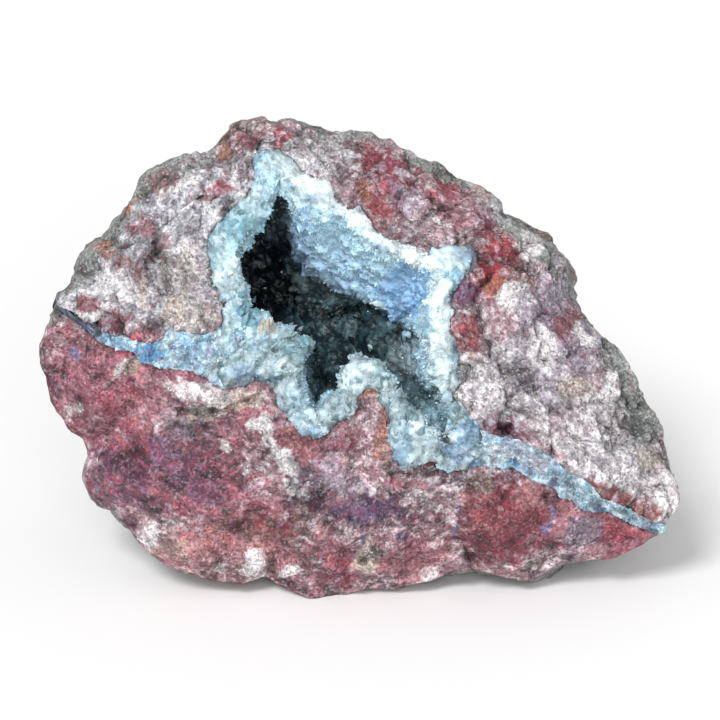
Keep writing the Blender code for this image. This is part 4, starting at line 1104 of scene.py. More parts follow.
def make_piece(name: str, points: np.ndarray, faces: np.ndarray, tint: np.ndarray, finish: "Finish",
               flat: bool = False) -> bpy.types.Object:
    """Makes a mesh object from arrays, with its colours and its finish.

    Args:
        name: The object's name.
        points: Picture-frame millimetres, (n, 3).
        faces: Corner numbers, (faces, 3 or 4).
        tint: Linear colours, and how pale the ground is, for each point, (n, 4).
        finish: What the piece is made of.
        flat: Whether its faces are shaded flat.

    Returns:
        The object, linked into the scene.
    """
    mesh = bpy.data.meshes.new(name)
    corners = faces.shape[1]
    mesh.vertices.add(len(points))
    mesh.vertices.foreach_set("co", standing(points).astype(np.float32).ravel())
    mesh.loops.add(faces.size)
    mesh.loops.foreach_set("vertex_index", faces.astype(np.int32).ravel())
    mesh.polygons.add(len(faces))
    mesh.polygons.foreach_set("loop_start", np.arange(0, faces.size, corners, dtype=np.int32))
    mesh.polygons.foreach_set("use_smooth", np.full(len(faces), not flat))
    mesh.update(calc_edges=True)
    mesh.validate()
    colours = mesh.attributes.new("tint", "FLOAT_COLOR", "POINT")
    colours.data.foreach_set("color", tint.astype(np.float32).ravel())
    mesh.materials.append(finish.material())
    piece = bpy.data.objects.new(name, mesh)
    bpy.context.collection.objects.link(piece)
    LOG.info("%s: %d triangles", name, len(faces) * (corners - 2))
    return piece


def tinted(colour: np.ndarray, pale: np.ndarray | float = 1.0) -> np.ndarray:
    """The four numbers that the finishes read from the mesh.

    Args:
        colour: Linear colours, (n, 3), held between 0 and 1 here.
        pale: How pale the ground is.

    Returns:
        Numbers, (n, 4).
    """
    return np.column_stack([np.clip(colour, 0, 1), np.broadcast_to(pale, len(colour))])


def add_node(tree: Tree, kind: str, sockets: dict | None = None, **settings) -> bpy.types.Node:
    """Adds a shader node, sets its constants and links its inputs.

    Args:
        tree: The node tree.
        kind: The node's type.
        sockets: For an input's name or number, the constant or the output that feeds it.
        settings: The node's own settings.

    Returns:
        The node.
    """
    node = tree.nodes.new(kind)
    for name, value in settings.items():
        setattr(node, name, value)
    for name, value in (sockets or {}).items():
        if isinstance(value, Socket):
            tree.links.new(value, node.inputs[name])
        else:
            node.inputs[name].default_value = value
    return node


@dataclass(frozen=True)
class Speck:
    """Small grains of another colour: their size, how much of the surface they take, and how strong.

    They gather in clusters, and ground is how many of them are left on dark and on pale ground.
    """

    colour: str
    grain_mm: float
    cluster_mm: float
    from_level: float
    to_level: float
    strength: float
    ground: tuple[float, float]
    seed: float


@dataclass(frozen=True)
class Finish:
    """A stony or glassy finish whose broad colours come from the mesh and whose grain is worked out here."""

    name: str
    roughness: float
    mottle_grain_mm: float
    mottle: tuple[float, float]
    bump_grain_mm: float
    bump_mm: float
    facet_mm: float
    facet_tilt: float
    facet_shade: tuple[float, float] = (0.85, 1.15)
    specks: tuple[Speck, ...] = ()
    ior: float = 1.5
    transmission: float = 0.0

    def material(self) -> bpy.types.Material:
        """The finish as a material, made once.

        Returns:
            The material.
        """
        if self.name in bpy.data.materials:
            return bpy.data.materials[self.name]
        made = bpy.data.materials.new(self.name)
        made.use_nodes = True
        tree = made.node_tree
        shader = tree.nodes["Principled BSDF"]
        place = add_node(tree, "ShaderNodeTexCoord").outputs["Object"]
        tint = add_node(tree, "ShaderNodeAttribute", attribute_name="tint")
        cells = add_node(tree, "ShaderNodeTexVoronoi",
                         {"Vector": place, "Scale": 1.0 / (self.facet_mm * MM)}).outputs["Color"]
        colour = self.mottled(tree, place, tint.outputs["Color"], cells)
        for speck in self.specks:
            colour = self.specked(tree, place, colour, tint.outputs["Alpha"], speck)
        tree.links.new(colour, shader.inputs["Base Color"])
        tree.links.new(self.relief(tree, place, cells), shader.inputs["Normal"])
        shader.inputs["Roughness"].default_value = self.roughness
        shader.inputs["IOR"].default_value = self.ior
        shader.inputs["Transmission Weight"].default_value = self.transmission
        return made

    def grain(self, tree: Tree, place: Socket, grain_mm: float, seed: float, detail: float = 3.0) -> Socket:
        """Noise with the given grain.

        Args:
            tree: The node tree.
            place: The coordinates.
            grain_mm: Size of the noise's lumps.
            seed: Moves the noise to another part of space.
            detail: How many finer layers it has.

        Returns:
            The noise's value.
        """
        moved = add_node(tree, "ShaderNodeVectorMath", {0: place, 1: (seed, seed * 0.7, -seed)},
                         operation="ADD").outputs[0]
        noise = add_node(tree, "ShaderNodeTexNoise",
                         {"Vector": moved, "Scale": 1.0 / (grain_mm * MM), "Detail": detail,
                          "Roughness": 0.6})
        return noise.outputs[0]

    def mottled(self, tree: Tree, place: Socket, colour: Socket, cells: Socket) -> Socket:
        """The colour lightened and darkened by noise and from grain to grain.

        Args:
            tree: The node tree.
            place: The coordinates.
            colour: The colour before.
            cells: A chance colour for each small angular grain.

        Returns:
            The colour after.
        """
        noise = self.grain(tree, place, self.mottle_grain_mm, 0.0, 4.0)
        level = add_node(tree, "ShaderNodeMapRange",
                         {"Value": noise, "From Min": 0.32, "From Max": 0.68, "To Min": self.mottle[0],
                          "To Max": self.mottle[1]}).outputs[0]
        chance = add_node(tree, "ShaderNodeSeparateXYZ", {0: cells}).outputs[0]
        grains = add_node(tree, "ShaderNodeMapRange",
                          {"Value": chance, "To Min": self.facet_shade[0],
                           "To Max": self.facet_shade[1]}).outputs[0]
        both = add_node(tree, "ShaderNodeMath", {0: level, 1: grains}, operation="MULTIPLY").outputs[0]
        return add_node(tree, "ShaderNodeVectorMath", {0: colour, "Scale": both},
                        operation="SCALE").outputs[0]

    def specked(self, tree: Tree, place: Socket, colour: Socket, pale: Socket, speck: Speck) -> Socket:
        """The colour with grains of another colour in it.

        Args:
            tree: The node tree.
            place: The coordinates.
            colour: The colour before.
            pale: How pale the ground is, from 0 to 1.
            speck: The grains.

        Returns:
            The colour after.
        """
        share = add_node(tree, "ShaderNodeMapRange",
                         {"Value": self.grain(tree, place, speck.grain_mm, speck.seed),
                          "From Min": speck.from_level, "From Max": speck.to_level,
                          "To Min": 0.0, "To Max": speck.strength}).outputs[0]
        cluster = add_node(tree, "ShaderNodeMapRange",
                           {"Value": self.grain(tree, place, speck.cluster_mm, speck.seed + 1.7, 2.0),
                            "From Min": 0.4, "From Max": 0.6, "To Min": 0.15, "To Max": 1.0}).outputs[0]
        share = add_node(tree, "ShaderNodeMath", {0: share, 1: cluster}, operation="MULTIPLY").outputs[0]
        ground = add_node(tree, "ShaderNodeMapRange",
                          {"Value": pale, "To Min": speck.ground[0], "To Max": speck.ground[1]}).outputs[0]
        share = add_node(tree, "ShaderNodeMath", {0: share, 1: ground}, operation="MULTIPLY").outputs[0]
        mixed_in = add_node(tree, "ShaderNodeMix", {0: share, 6: colour, 7: (*linear(speck.colour), 1.0)},
                            data_type="RGBA")
        return mixed_in.outputs[2]

    def relief(self, tree: Tree, place: Socket, cells: Socket) -> Socket:
        """The finest relief, too small for the mesh: bumps, and grains whose faces look their own way.

        Args:
            tree: The node tree.
            place: The coordinates.
            cells: A chance colour for each small angular grain.

        Returns:
            The bent normal.
        """
        noise = self.grain(tree, place, self.bump_grain_mm, 3.1, 4.0)
        bump = add_node(tree, "ShaderNodeBump",
                        {"Height": noise, "Distance": self.bump_mm * MM, "Strength": 1.0}).outputs[0]
        chance = add_node(tree, "ShaderNodeVectorMath", {0: cells, 1: (0.5, 0.5, 0.5)},
                          operation="SUBTRACT").outputs[0]
        tilt = add_node(tree, "ShaderNodeVectorMath", {0: chance, "Scale": self.facet_tilt},
                        operation="SCALE").outputs[0]
        bent = add_node(tree, "ShaderNodeVectorMath", {0: bump, 1: tilt}, operation="ADD").outputs[0]
        return add_node(tree, "ShaderNodeVectorMath", {0: bent}, operation="NORMALIZE").outputs[0]


# Broken volcanic rock: hardly shiny, and every small grain takes the light its own way. The real grains are
# finer than half a millimetre and are drawn that coarse so that they show.
ROCK_FINISH = Finish(
    "host_rock_broken_volcanic_stone", roughness=0.75, mottle_grain_mm=0.8, mottle=(0.56, 1.4),
    bump_grain_mm=0.6, bump_mm=0.7, facet_mm=0.55, facet_tilt=0.66, facet_shade=(0.63, 1.34),
    specks=(Speck("8A2A3C", 1.6, 6.0, 0.52, 0.58, 0.55, MOSTLY_ON_DARK, 13.0),
            Speck("B0707C", 1.2, 5.0, 0.58, 0.64, 0.12, MOSTLY_ON_PALE, 17.0),
            Speck("FFFDFE", 0.8, 3.5, 0.56, 0.61, 0.6, MOSTLY_ON_PALE, 5.0),
            Speck("D2B0BA", 1.1, 5.0, 0.56, 0.64, 0.35, MOSTLY_ON_DARK, 7.0),
            Speck("1E1820", 0.7, 4.0, 0.57, 0.62, 0.75, ON_ANY_GROUND, 9.0)),
)
# Milky quartz, grown in crusts: glassy little faces about a millimetre wide that glint here and there
CRUST_FINISH = Finish(
    "crystal_crust_milky_quartz", roughness=0.3, mottle_grain_mm=1.8, mottle=(0.8, 1.2), bump_grain_mm=0.8,
    bump_mm=0.3, facet_mm=1.0, facet_tilt=0.5, facet_shade=(0.84, 1.14), ior=1.55,
)
# Quartz points: smooth natural faces, so they gleam, and a little light comes through them
POINT_FINISH = Finish(
    "crystal_points_clear_quartz", roughness=0.2, mottle_grain_mm=1.6, mottle=(0.8, 1.15), bump_grain_mm=1.6,
    bump_mm=0.05, facet_mm=2.2, facet_tilt=0.0, ior=1.55, transmission=0.12,
)


@dataclass
class HostRock:
    """The rock: its pocket behind the crust, its broken face and its skin, in one surface."""

    floor_shares: tuple = (1.0, 0.6, 0.3)
    pocket_rows: int = 7
    face_rows: int = 118
    skin_rows: int = 56
    first_blend_rows: float = 2.0
    skin_blend_rows: float = 6.0
    lower_blend_mm: float = 4.0
    chips: Layers = ((7.5, 2.3, 150), (3.4, 1.1, 160), (1.7, 0.45, 170))
    chip_middle: float = 0.4
    chip_wander: Layers = ((4.0, 1.3, 28), (1.6, 0.5, 29))
    relief: Layers = ((2.4, 0.35, 21), (1.2, 0.3, 22), (0.7, 0.22, 23))
    smoother_below: float = 0.55
    skin_relief: Layers = ((4.0, 0.9, 31), (1.8, 0.5, 32), (0.9, 0.28, 33))
    creases: Layers = ((10.0, 2.0, 24), (5.0, 0.9, 25))
    crease_wander: Layers = ((3.0, 0.9, 26), (1.3, 0.45, 27))
    crease_power: int = 14
    fewer_creases_below: float = 0.8
    skin_creases: float = 0.6
    groove_fray: Layers = ((1.8, 0.5, 42), (0.9, 0.3, 43))
    streaks: Layers = ((3.2, 0.5, 184), (1.5, 0.5, 181), (0.7, 0.35, 182))
    patches: Layers = ((9.0, 0.6, 185), (4.0, 0.5, 186))
    band_fray: Layers = ((5.0, 1.4, 65), (2.0, 0.9, 66))
    grains: tuple[float, int] = (2.6, 180)
    small_grains: tuple[float, int] = (1.3, 190)
    shade_range: tuple[float, float] = (0.2, 1.6)

    def rows(self) -> np.ndarray:
        """Rings from the pocket's floor up its wall, over the face and round the skin to the back.

        On the skin a ring shrinks towards the back's middle with a power of the cosine and sinks with the
        sine of a quarter turn, and noise pushes it away from the stone's heart.

        Returns:
            Picture-frame points, (rows, columns, 3).
        """
        pole = (HOLLOW_FLOOR_MM[0], HOLLOW_FLOOR_MM[1], HOLLOW_FLOOR_MM[2] - CRUST_FLOOR_MM)
        down = np.linspace(0, 1, self.pocket_rows)
        wall = wall_rings(CONTACT, face_height(CONTACT), pocket_shoulder(), down)
        rings = floor_rings(wall[-1], pole, self.floor_shares) + wall[::-1]
        for share in np.linspace(0, 1, self.face_rows)[1:]:
            flat = CONTACT + (OUTLINE - CONTACT) * share
            rings.append(np.column_stack([flat, face_height(flat)]))
        edge = rings[-1]
        window = range(-SKIN_EVEN_COLUMNS * DENSE, SKIN_EVEN_COLUMNS * DENSE + 1)
        evened = np.mean([np.roll(edge, step, axis=0) for step in window], axis=0)
        middle = np.array(BACK_MIDDLE_MM)
        for turn in np.linspace(0, 1, self.skin_rows)[1:]:
            angle = turn * math.pi / 2
            source = edge + (evened - edge) * min(turn / SKIN_EVEN_BY, 1.0)
            flat = middle + (source[:, :2] - middle) * max(math.cos(angle), 0.0) ** SKIN_FULLNESS
            height = source[:, 2] - (source[:, 2] + EDGE_DROP_MM) * turn - BACK_DEPTH_MM * math.sin(angle)
            ring = np.column_stack([flat, height])
            out = ring - np.array(HEART_MM)
            out /= np.linalg.norm(out, axis=1, keepdims=True)
            push = octaves(ring, SKIN_GRAIN_MM) * min(turn / SKIN_ROUGH_BY, 1.0)
            rings.append(ring + out * push[:, None])
        return np.array(rings)

    def creased(self, points: np.ndarray) -> np.ndarray:
        """Narrow crevices between lumps of stone: 1 less a noise's size, to a high power.

        Args:
            points: Picture-frame points.

        Returns:
            Millimetres to take off along the normal.
        """
        askew = wandered(points, self.crease_wander, CREASE_NOISE_MM) @ LATTICE_TURN
        return sum(rise * (1 - np.abs(bumps(askew, grain, seed))) ** self.crease_power
                   for grain, rise, seed in self.creases)

    def carved(self, points: np.ndarray) -> np.ndarray:
        """How far the face is cut down by the vein grooves, cracks and pits: the deepest cut counts.

        Args:
            points: Picture-frame points of the face.

        Returns:
            Millimetres to take off w.
        """
        cut = np.zeros(len(points))
        for upper, lower in VEIN_EDGES:
            border = np.vstack([upper, lower[::-1]])
            gap = route_distance(points, np.vstack([border, border[:1]]))
            gap = np.where(inside_outline(points, border), gap, -gap)
            gap += octaves(points, self.groove_fray)
            cut = np.maximum(cut, VEIN_GROOVE_MM * smooth(gap / VEIN_GROOVE_EDGE_MM + 0.3))
        wander = 0.5 * bumps(points, 2.5, 41)
        for half_width, depth, *route in CRACKS_MM:
            gap = route_distance(points, np.array(route)) + wander
            cut = np.maximum(cut, depth * smooth(1.3 - gap / half_width))
        for u, v, radius, depth in PITS_MM:
            gap = np.hypot(points[:, 0] - u, points[:, 1] - v) + wander
            cut = np.maximum(cut, depth * smooth(1.5 - gap / radius))
        return cut

    def build(self) -> bpy.types.Object:
        """The rock, shaped, stained, given painted shade and made.

        Returns:
            The object.
        """
        grid = self.rows()
        normals = grid_normals(grid, closed=True).reshape(-1, 3)
        points = grid.reshape(-1, 3)
        row = np.repeat(np.arange(grid.shape[0]), grid.shape[1])
        first = len(self.floor_shares) + self.pocket_rows - 1
        last = first + self.face_rows - 1
        on_face = smooth((row - first) / self.first_blend_rows)
        on_face = on_face * smooth((last - row) / self.skin_blend_rows + 0.5)
        on_skin = smooth((row - last) / self.skin_blend_rows)
        lower = smooth((ledge_line(points[:, 0]) - points[:, 1]) / self.lower_blend_mm) * (1 - on_skin)
        creases = self.creased(points) * (1 - self.fewer_creases_below * lower)
        shifted = wandered(points, self.chip_wander)
        rough = octaves(points, self.relief, turned=True)
        for grain, rise, seed in self.chips:
            shifted = shifted @ LATTICE_TURN
            rough += rise * (facets(shifted, grain, seed) - self.chip_middle)
        level = (rough * (1 - self.smoother_below * lower) - creases) * on_face
        level += (octaves(points, self.skin_relief, turned=True) - self.skin_creases * creases) * on_skin
        moved = points + normals * level[:, None]
        carved = self.carved(points) * (row >= first) * (row <= last)
        moved[:, 2] -= carved
        noises = {
            Noise.GRAINS: cell_chance(shifted, *self.grains),
            Noise.SMALL: cell_chance(shifted, *self.small_grains),
            Noise.STREAKS: octaves(self.streaked(points), self.streaks),
            Noise.PATCHES: octaves(points, self.patches),
        }
        colour, pale = self.coloured(points, lower, on_skin, noises)
        # Painted shade: raised places are lighter, creases and cuts darker, and the pocket behind the crust
        # is nearly half as light; grains, streaks and patches differ a little, and the lower half is darker
        shade = 1.0 + 0.2 * rough - 0.38 * creases - 0.2 * carved
        shade += 0.12 * (noises[Noise.GRAINS] + noises[Noise.SMALL]) * (1 + 0.7 * lower)
        shade += (0.5 * noises[Noise.STREAKS] + 0.4 * noises[Noise.PATCHES] - 0.26) * lower
        shade *= 0.55 + 0.45 * smooth((row - first) / 4.0)
        tint = tinted(colour * np.clip(shade, *self.shade_range)[:, None], pale)
        faces = grid_faces(*grid.shape[:2], closed=True)
        return make_piece("host_rock_dense", moved, faces, tint, ROCK_FINISH)

    def coloured(self, points: np.ndarray, lower: np.ndarray, on_skin: np.ndarray,
                 noises: dict) -> tuple[np.ndarray, np.ndarray]:
        """Colours of the rock: broad stains, then flecks, then the skin, then the stains that lie on top.

        Args:
            points: Picture-frame points.
            lower: How far each point is on the face's lower half, from 0 to 1.
            on_skin: How far each point is on the skin, from 0 to 1.
            noises: Each noise's value at each point.

        Returns:
            Linear colours, and how pale the ground is.
        """
        colour = np.where(on_skin[:, None] > 0.5, linear(Mineral.SKIN.value), linear(Mineral.PINK.value))
        under = [stain for stain in ROCK_STAINS_AND_SHADE if stain[5] not in TOP_MINERALS]
        colour = stained_and_shaded(points, colour, under, ROCK_FRAY, edge=0.5)
        pale = paleness(colour)
        zones = {Zone.PALE: pale, Zone.LOWER: lower, Zone.UPPER_RED: (1 - pale) * (1 - lower)}
        colour = flecked(colour, ROCK_FLECKS, zones, noises)
        skin = self.skin_colour(points)
        banded = np.maximum(on_skin, self.skin_band(points) * (1 - lower))
        colour = mixed(colour, skin, banded)
        over = [stain for stain in ROCK_STAINS_AND_SHADE if stain[5] in TOP_MINERALS]
        colour = mixed(stained_and_shaded(points, colour, over, ROCK_FRAY, edge=0.4), skin, on_skin)
        pale = paleness(colour)
        return colour, pale + (SKIN_PALENESS - pale) * banded

    def streaked(self, points: np.ndarray) -> np.ndarray:
        """Places pressed together along the streaks of the face's lower half.

        Args:
            points: Picture-frame points.

        Returns:
            Points.
        """
        turn = math.radians(STREAK_TURN_DEG)
        along = points[:, 0] * math.cos(turn) + points[:, 1] * math.sin(turn)
        across = points[:, 1] * math.cos(turn) - points[:, 0] * math.sin(turn)
        across += 0.8 * bumps(points, 6.0, 183)
        return np.column_stack([along * STREAK_SHORTENING, across, points[:, 2]])

    def skin_band(self, points: np.ndarray) -> np.ndarray:
        """Where weathered skin laps over onto the face from the stone's edge.

        Args:
            points: Picture-frame points.

        Returns:
            A share for each point.
        """
        flat = points[:, :2]
        reach = np.linalg.norm(flat, axis=1)
        gap = reach / np.maximum(edge_share(flat), 1e-3) - reach
        width = np.interp(points[:, 0], SKIN_BAND_MM[:, 0], SKIN_BAND_MM[:, 1])
        width += octaves(points, self.band_fray) * (width > 0)
        return smooth(width - gap + 0.5) * smooth((points[:, 1] + SKIN_BAND_STOPS_BELOW_MM) / 5.0)

    def skin_colour(self, points: np.ndarray) -> np.ndarray:
        """Colours of the weathered skin: grey-green with paler and redder patches.

        Args:
            points: Picture-frame points.

        Returns:
            Linear colours.
        """
        colour = np.tile(np.array(linear(Mineral.SKIN.value)), (len(points), 1))
        for mineral, grain, seed, level in SKIN_PATCHES:
            noise = bumps(points, grain, seed) + 0.3 * bumps(points, 2.0, seed + 9)
            colour = mixed(colour, mineral, 0.6 * smooth((noise - level) / 0.3))
        return colour


@dataclass(frozen=True)
class Ground:
    """A surface that crystals stand on, as grids of points, unit normals and linear colours."""

    surface: np.ndarray
    normals: np.ndarray
    colours: np.ndarray

    def part(self, rows: slice, columns: slice = slice(None)) -> "Ground":
        """The same for some of its rows and columns."""
        return Ground(*(grid[rows, columns] for grid in (self.surface, self.normals, self.colours)))


@dataclass
class CrystalCrust:
    """The crust that lines the hollow: its floor, its wall and the pale band round its rim."""

    floor_rows: int = 60
    wall_rows: int = 80
    rim_rows: int = 40
    tuck_rows: int = 3
    tuck_out_mm: float = 0.9
    relief: Layers = ((5.0, 2.3, 71), (2.3, 1.1, 81), (1.0, 0.3, 91))
    hump_middle: float = 0.35
    deep_relief: Layers = ((7.0, 2.6, 61), (3.4, 1.2, 68))
    deep_sink_mm: float = 1.3
    grain_wander: Layers = ((2.0, 0.6, 62), (1.0, 0.3, 63))
    grains: tuple[float, int] = (3.2, 64)
    small_grains: tuple[float, int] = (1.5, 67)
    lit_edge_fray: Layers = ((4.0, 1.0, 103), (1.6, 0.7, 104))
    # The first row from the floor's pole that carries small points
    points_from_row: int = 20
    ground: Ground | None = None

    def rows(self) -> np.ndarray:
        """Rings from the floor's pole up the wall, over the rim band and down into the rock.

        Returns:
            Picture-frame points, (rows, columns, 3).
        """
        rim_height = face_height(OPENING)
        contact_height = face_height(CONTACT)
        wall = wall_rings(OPENING, rim_height - 1.0, SHOULDER, np.linspace(0, 1, self.wall_rows))
        floor = floor_rings(wall[-1], HOLLOW_FLOOR_MM, np.linspace(0, 1, self.floor_rows)[1:])
        rings = floor[::-1] + wall[::-1]
        profile = np.array(RIM_PROFILE_MM)
        for share in np.linspace(0, 1, self.rim_rows)[1:]:
            flat = OPENING + (CONTACT - OPENING) * share
            rise = np.interp(share, profile[:, 0], profile[:, 1])
            rings.append(np.column_stack([flat, rim_height + (contact_height - rim_height) * share + rise]))
        for step in range(1, self.tuck_rows + 1):
            share = step / self.tuck_rows
            flat = CONTACT - ring_inward(CONTACT) * self.tuck_out_mm * share
            rings.append(np.column_stack([flat, contact_height - 0.4 - 2.6 * share]))
        return np.array(rings)

    def coloured(self, points: np.ndarray, on_rim: np.ndarray) -> np.ndarray:
        """Colours of the crust: icy at the rim, blue down the wall, then teal and near black in painted
        shade below the lit wall and left of the shadow side.

        Args:
            points: Picture-frame points.
            on_rim: How far each point is on the rim band, from 0 to 1.

        Returns:
            Linear colours.
        """
        u, v = points[:, 0], points[:, 1]
        depth = face_height(points) - points[:, 2] + 1.6 * bumps(points, 4.0, 101)
        shifted = wandered(points, self.grain_wander)
        noises = {Noise.GRAINS: cell_chance(shifted, *self.grains),
                  Noise.SMALL: cell_chance(shifted @ LATTICE_TURN, *self.small_grains)}
        zones = {Zone.RIM: on_rim, Zone.LOW_RIM: smooth((6.0 - v) / 8.0) * on_rim,
                 Zone.HOLLOW: smooth((depth - 12.0) / 8.0), Zone.DEEP: smooth((depth - 16.0) / 8.0)}
        lit = flecked(by_depth(depth, LIT_BY_DEPTH), RIM_FLECKS, zones, noises)
        lit = mixed(lit, stained_and_shaded(points, lit, CRUST_STAINS, CRUST_FRAY), smooth((32.0 - depth) / 6.0))
        unlit = stained_and_shaded(points, by_depth(depth, UNLIT_BY_DEPTH), UNLIT_SHADE_PATCHES, DEEP_FRAY)
        unlit = flecked(unlit, DEEP_FLECKS, zones, noises) * UNLIT_DARKNESS
        # Below the lit wall's lower edge the colour goes over to the unlit one, painted shade
        edge = np.interp(u, LIT_EDGE_MM[:, 0], LIT_EDGE_MM[:, 1])
        edge += octaves(points, self.lit_edge_fray)
        fade = np.interp(u, LIT_FADE_MM[0], LIT_FADE_MM[1])
        colour = mixed(lit, unlit, smooth((edge - v) / fade + 0.5) * smooth((depth - 8.0) / 5.0))
        # Painted shadow: left of the shadow side the hollow goes nearly black
        dark = np.interp(v, SHADOW_SIDE_MM[:, 1], SHADOW_SIDE_MM[:, 0]) - u + bumps(points, 2.5, 102)
        dark = smooth(dark / 2.5 + 0.5) * smooth((depth - 3.0) / 4.0)
        return mixed(colour, Mineral.INK, 0.92 * dark)

    def build(self) -> bpy.types.Object:
        """The crust, shaped, coloured with painted light and shade, and made.

        Returns:
            The object.
        """
        grid = self.rows()
        shape = grid.shape
        normals = grid_normals(grid, closed=True).reshape(-1, 3)
        points = grid.reshape(-1, 3)
        row = np.repeat(np.arange(shape[0]), shape[1])
        fade = smooth((shape[0] - self.tuck_rows - row) / 4.0) * smooth(row / 2.0)
        humps = [facets(points, grain, seed) for grain, rise, seed in self.relief]
        level = sum(layer[1] * (hump - self.hump_middle) for layer, hump in zip(self.relief, humps))
        deep = smooth((face_height(points) - points[:, 2] - 20.0) / 8.0)
        (broad, broad_rise, seed), (fine, fine_rise, fine_seed) = self.deep_relief
        lumps = broad_rise * facets(points, broad, seed)
        lumps += fine_rise * facets(points @ LATTICE_TURN, fine, fine_seed)
        level += deep * (lumps - self.deep_sink_mm)
        moved = points + normals * (level * fade)[:, None]
        rim = (row - self.floor_rows - self.wall_rows + 1) / self.rim_rows
        on_rim = smooth(rim / 0.1)
        lit_wall = smooth(-rim / 0.1) * (1 - deep)
        # Painted shade and light: crystal tips are lighter than the gaps between them, less so on the lit
        # wall, which is painted lighter; the lower part is darker; the rim band's outer edge is darker, a
        # painted shadow at the rock, and its inner edge a little lighter, a painted highlight
        shade = 0.45 + (0.6 * humps[0] + 0.44 * humps[1]) * (1 - 0.45 * lit_wall)
        shade += 0.12 * humps[2] + 0.4 * lit_wall
        shade *= 1 - 0.24 * smooth((8.0 - points[:, 1]) / 8.0)
        shade *= 1 - 0.35 * smooth((rim - 0.72) / 0.28) + 0.12 * on_rim * smooth((0.5 - rim) / 0.3)
        tint = tinted(self.coloured(points, on_rim) * shade[:, None])
        self.ground = Ground(moved.reshape(shape), normals.reshape(shape), tint[:, :3].reshape(shape))
        faces = grid_faces(*shape[:2], closed=True)
        return make_piece("crystal_crust_dense", moved, faces, tint, CRUST_FINISH)

    def points(self) -> bpy.types.Object:
        """Small points on the crust: most at the rim, few on the wall and the floor.

        Returns:
            The object.
        """
        surface = self.ground.surface
        depth = face_height(surface.reshape(-1, 3)).reshape(surface.shape[:2]) - surface[..., 2]
        weight = smooth((30.0 - depth) / 10.0) * (0.22 + 0.78 * smooth((depth - 0.5) / 3.0))
        weight *= 1 - 0.85 * smooth((depth - 6.0) / 3.0)
        weight += 0.06 * smooth((depth - 24.0) / 6.0)
        rows = slice(self.points_from_row, len(surface) - self.tuck_rows - 2)
        return CrystalPoints("crystal_points", 6000).scattered(self.ground.part(rows), weight[rows])


@dataclass
class Vein:
    """A vein of crystal that runs over the face from the stone's edge to the hollow."""

    name: str
    upper: np.ndarray
    lower: np.ndarray
    dark_until: float
    along: int = 300
    across: int = 44
    margin: float = 0.22
    sunk_mm: float = 0.7
    side_depth_mm: float = 3.2
    relief: Layers = ((2.2, 1.1, 121), (1.1, 0.5, 131))
    hump_middle_mm: float = 0.5
    grain_wander: Layers = ((1.5, 0.4, 145),)
    small_grains: tuple[float, int] = (1.3, 146)
    dark_fray: Layers = ((2.5, 1.0, 147), (1.2, 0.8, 148))
    ground: Ground | None = None

    def build(self) -> bpy.types.Object:
        """The vein: a strip between its two edges, rough with small crystals, its sides sunk in the rock.

        Returns:
            The object.
        """
        upper, lower = spaced(self.upper, self.along, whole=True), spaced(self.lower, self.along, whole=True)
        share = np.linspace(-self.margin, 1 + self.margin, self.across)
        flat = (lower[:, None] + (upper - lower)[:, None] * share[None, :, None]).reshape(-1, 2)
        outside = np.maximum(np.abs(np.tile(share, self.along) - 0.5) - 0.5, 0.0) / self.margin
        height = face_height(flat) - self.sunk_mm - self.side_depth_mm * smooth(outside)
        points = np.column_stack([flat, height])
        humps = [facets(points, grain, seed) for grain, rise, seed in self.relief]
        level = sum(layer[1] * hump for layer, hump in zip(self.relief, humps)) - self.hump_middle_mm
        moved = points + np.outer(level, (0.0, 0.0, 1.0))
        tint = tinted(self.coloured(points, humps))
        shape = (self.along, self.across, 3)
        surface = moved.reshape(shape)
        normals = grid_normals(surface, closed=False)
        self.ground = Ground(surface, normals * np.sign(normals[..., 2:]), tint[:, :3].reshape(shape))
        faces = grid_faces(self.along, self.across, closed=False)
        return make_piece(f"{self.name}_dense", moved, faces, tint, CRUST_FINISH)

    def coloured(self, points: np.ndarray, humps: Sequence[np.ndarray]) -> np.ndarray:
        """Colours of the vein: patches and flecks of blue, paler on its humps as painted shade, murky at a
        dark end.

        Args:
            points: Picture-frame points.
            humps: The large and the small crystals' heights.

        Returns:
            Linear colours.
        """
        colour = np.tile(np.array(linear(Mineral.SKY.value)), (len(points), 1))
        for mineral, grain, seed in VEIN_PATCHES:
            noise = octaves(points, ((grain, 0.8, seed), (grain / 2.5, 0.5, seed + 9)))
            colour = mixed(colour, mineral, 0.8 * smooth((noise + 0.1) / 0.6))
        colour = stained_and_shaded(points, colour, VEIN_STAINS, VEIN_FRAY)
        small = cell_chance(wandered(points, self.grain_wander), *self.small_grains)
        colour = flecked(colour, VEIN_FLECKS, {Zone.ALL: 1.0}, {Noise.SMALL: small})
        # Painted shade: lighter on the crystals' humps, darker between them
        colour *= (0.46 + 0.75 * humps[0] + 0.35 * humps[1])[:, None]
        run = np.repeat(np.linspace(0, 1, self.along), self.across)
        dark = self.dark_until - run + 0.08 * octaves(points, self.dark_fray)
        navy = np.outer(smooth((small - 0.1) / 0.3), linear(Mineral.NAVY.value))
        murk = np.array(linear(Mineral.INK.value)) + navy
        return mixed(colour, murk, 0.9 * smooth(dark / 0.1))

    def points(self) -> bpy.types.Object:
        """Small points on the vein's middle, none at its dark end.

        Returns:
            The object.
        """
        side = self.across // 6
        middle = self.ground.part(slice(None), slice(side, -side))
        weight = smooth(np.linspace(-self.dark_until, 1.4 - self.dark_until, self.along) * 4.0)
        weight = np.repeat(weight[:, None], middle.surface.shape[1], axis=1)
        return CrystalPoints(f"{self.name}_points", 1500, width_mm=(0.4, 1.0)).scattered(middle, weight)


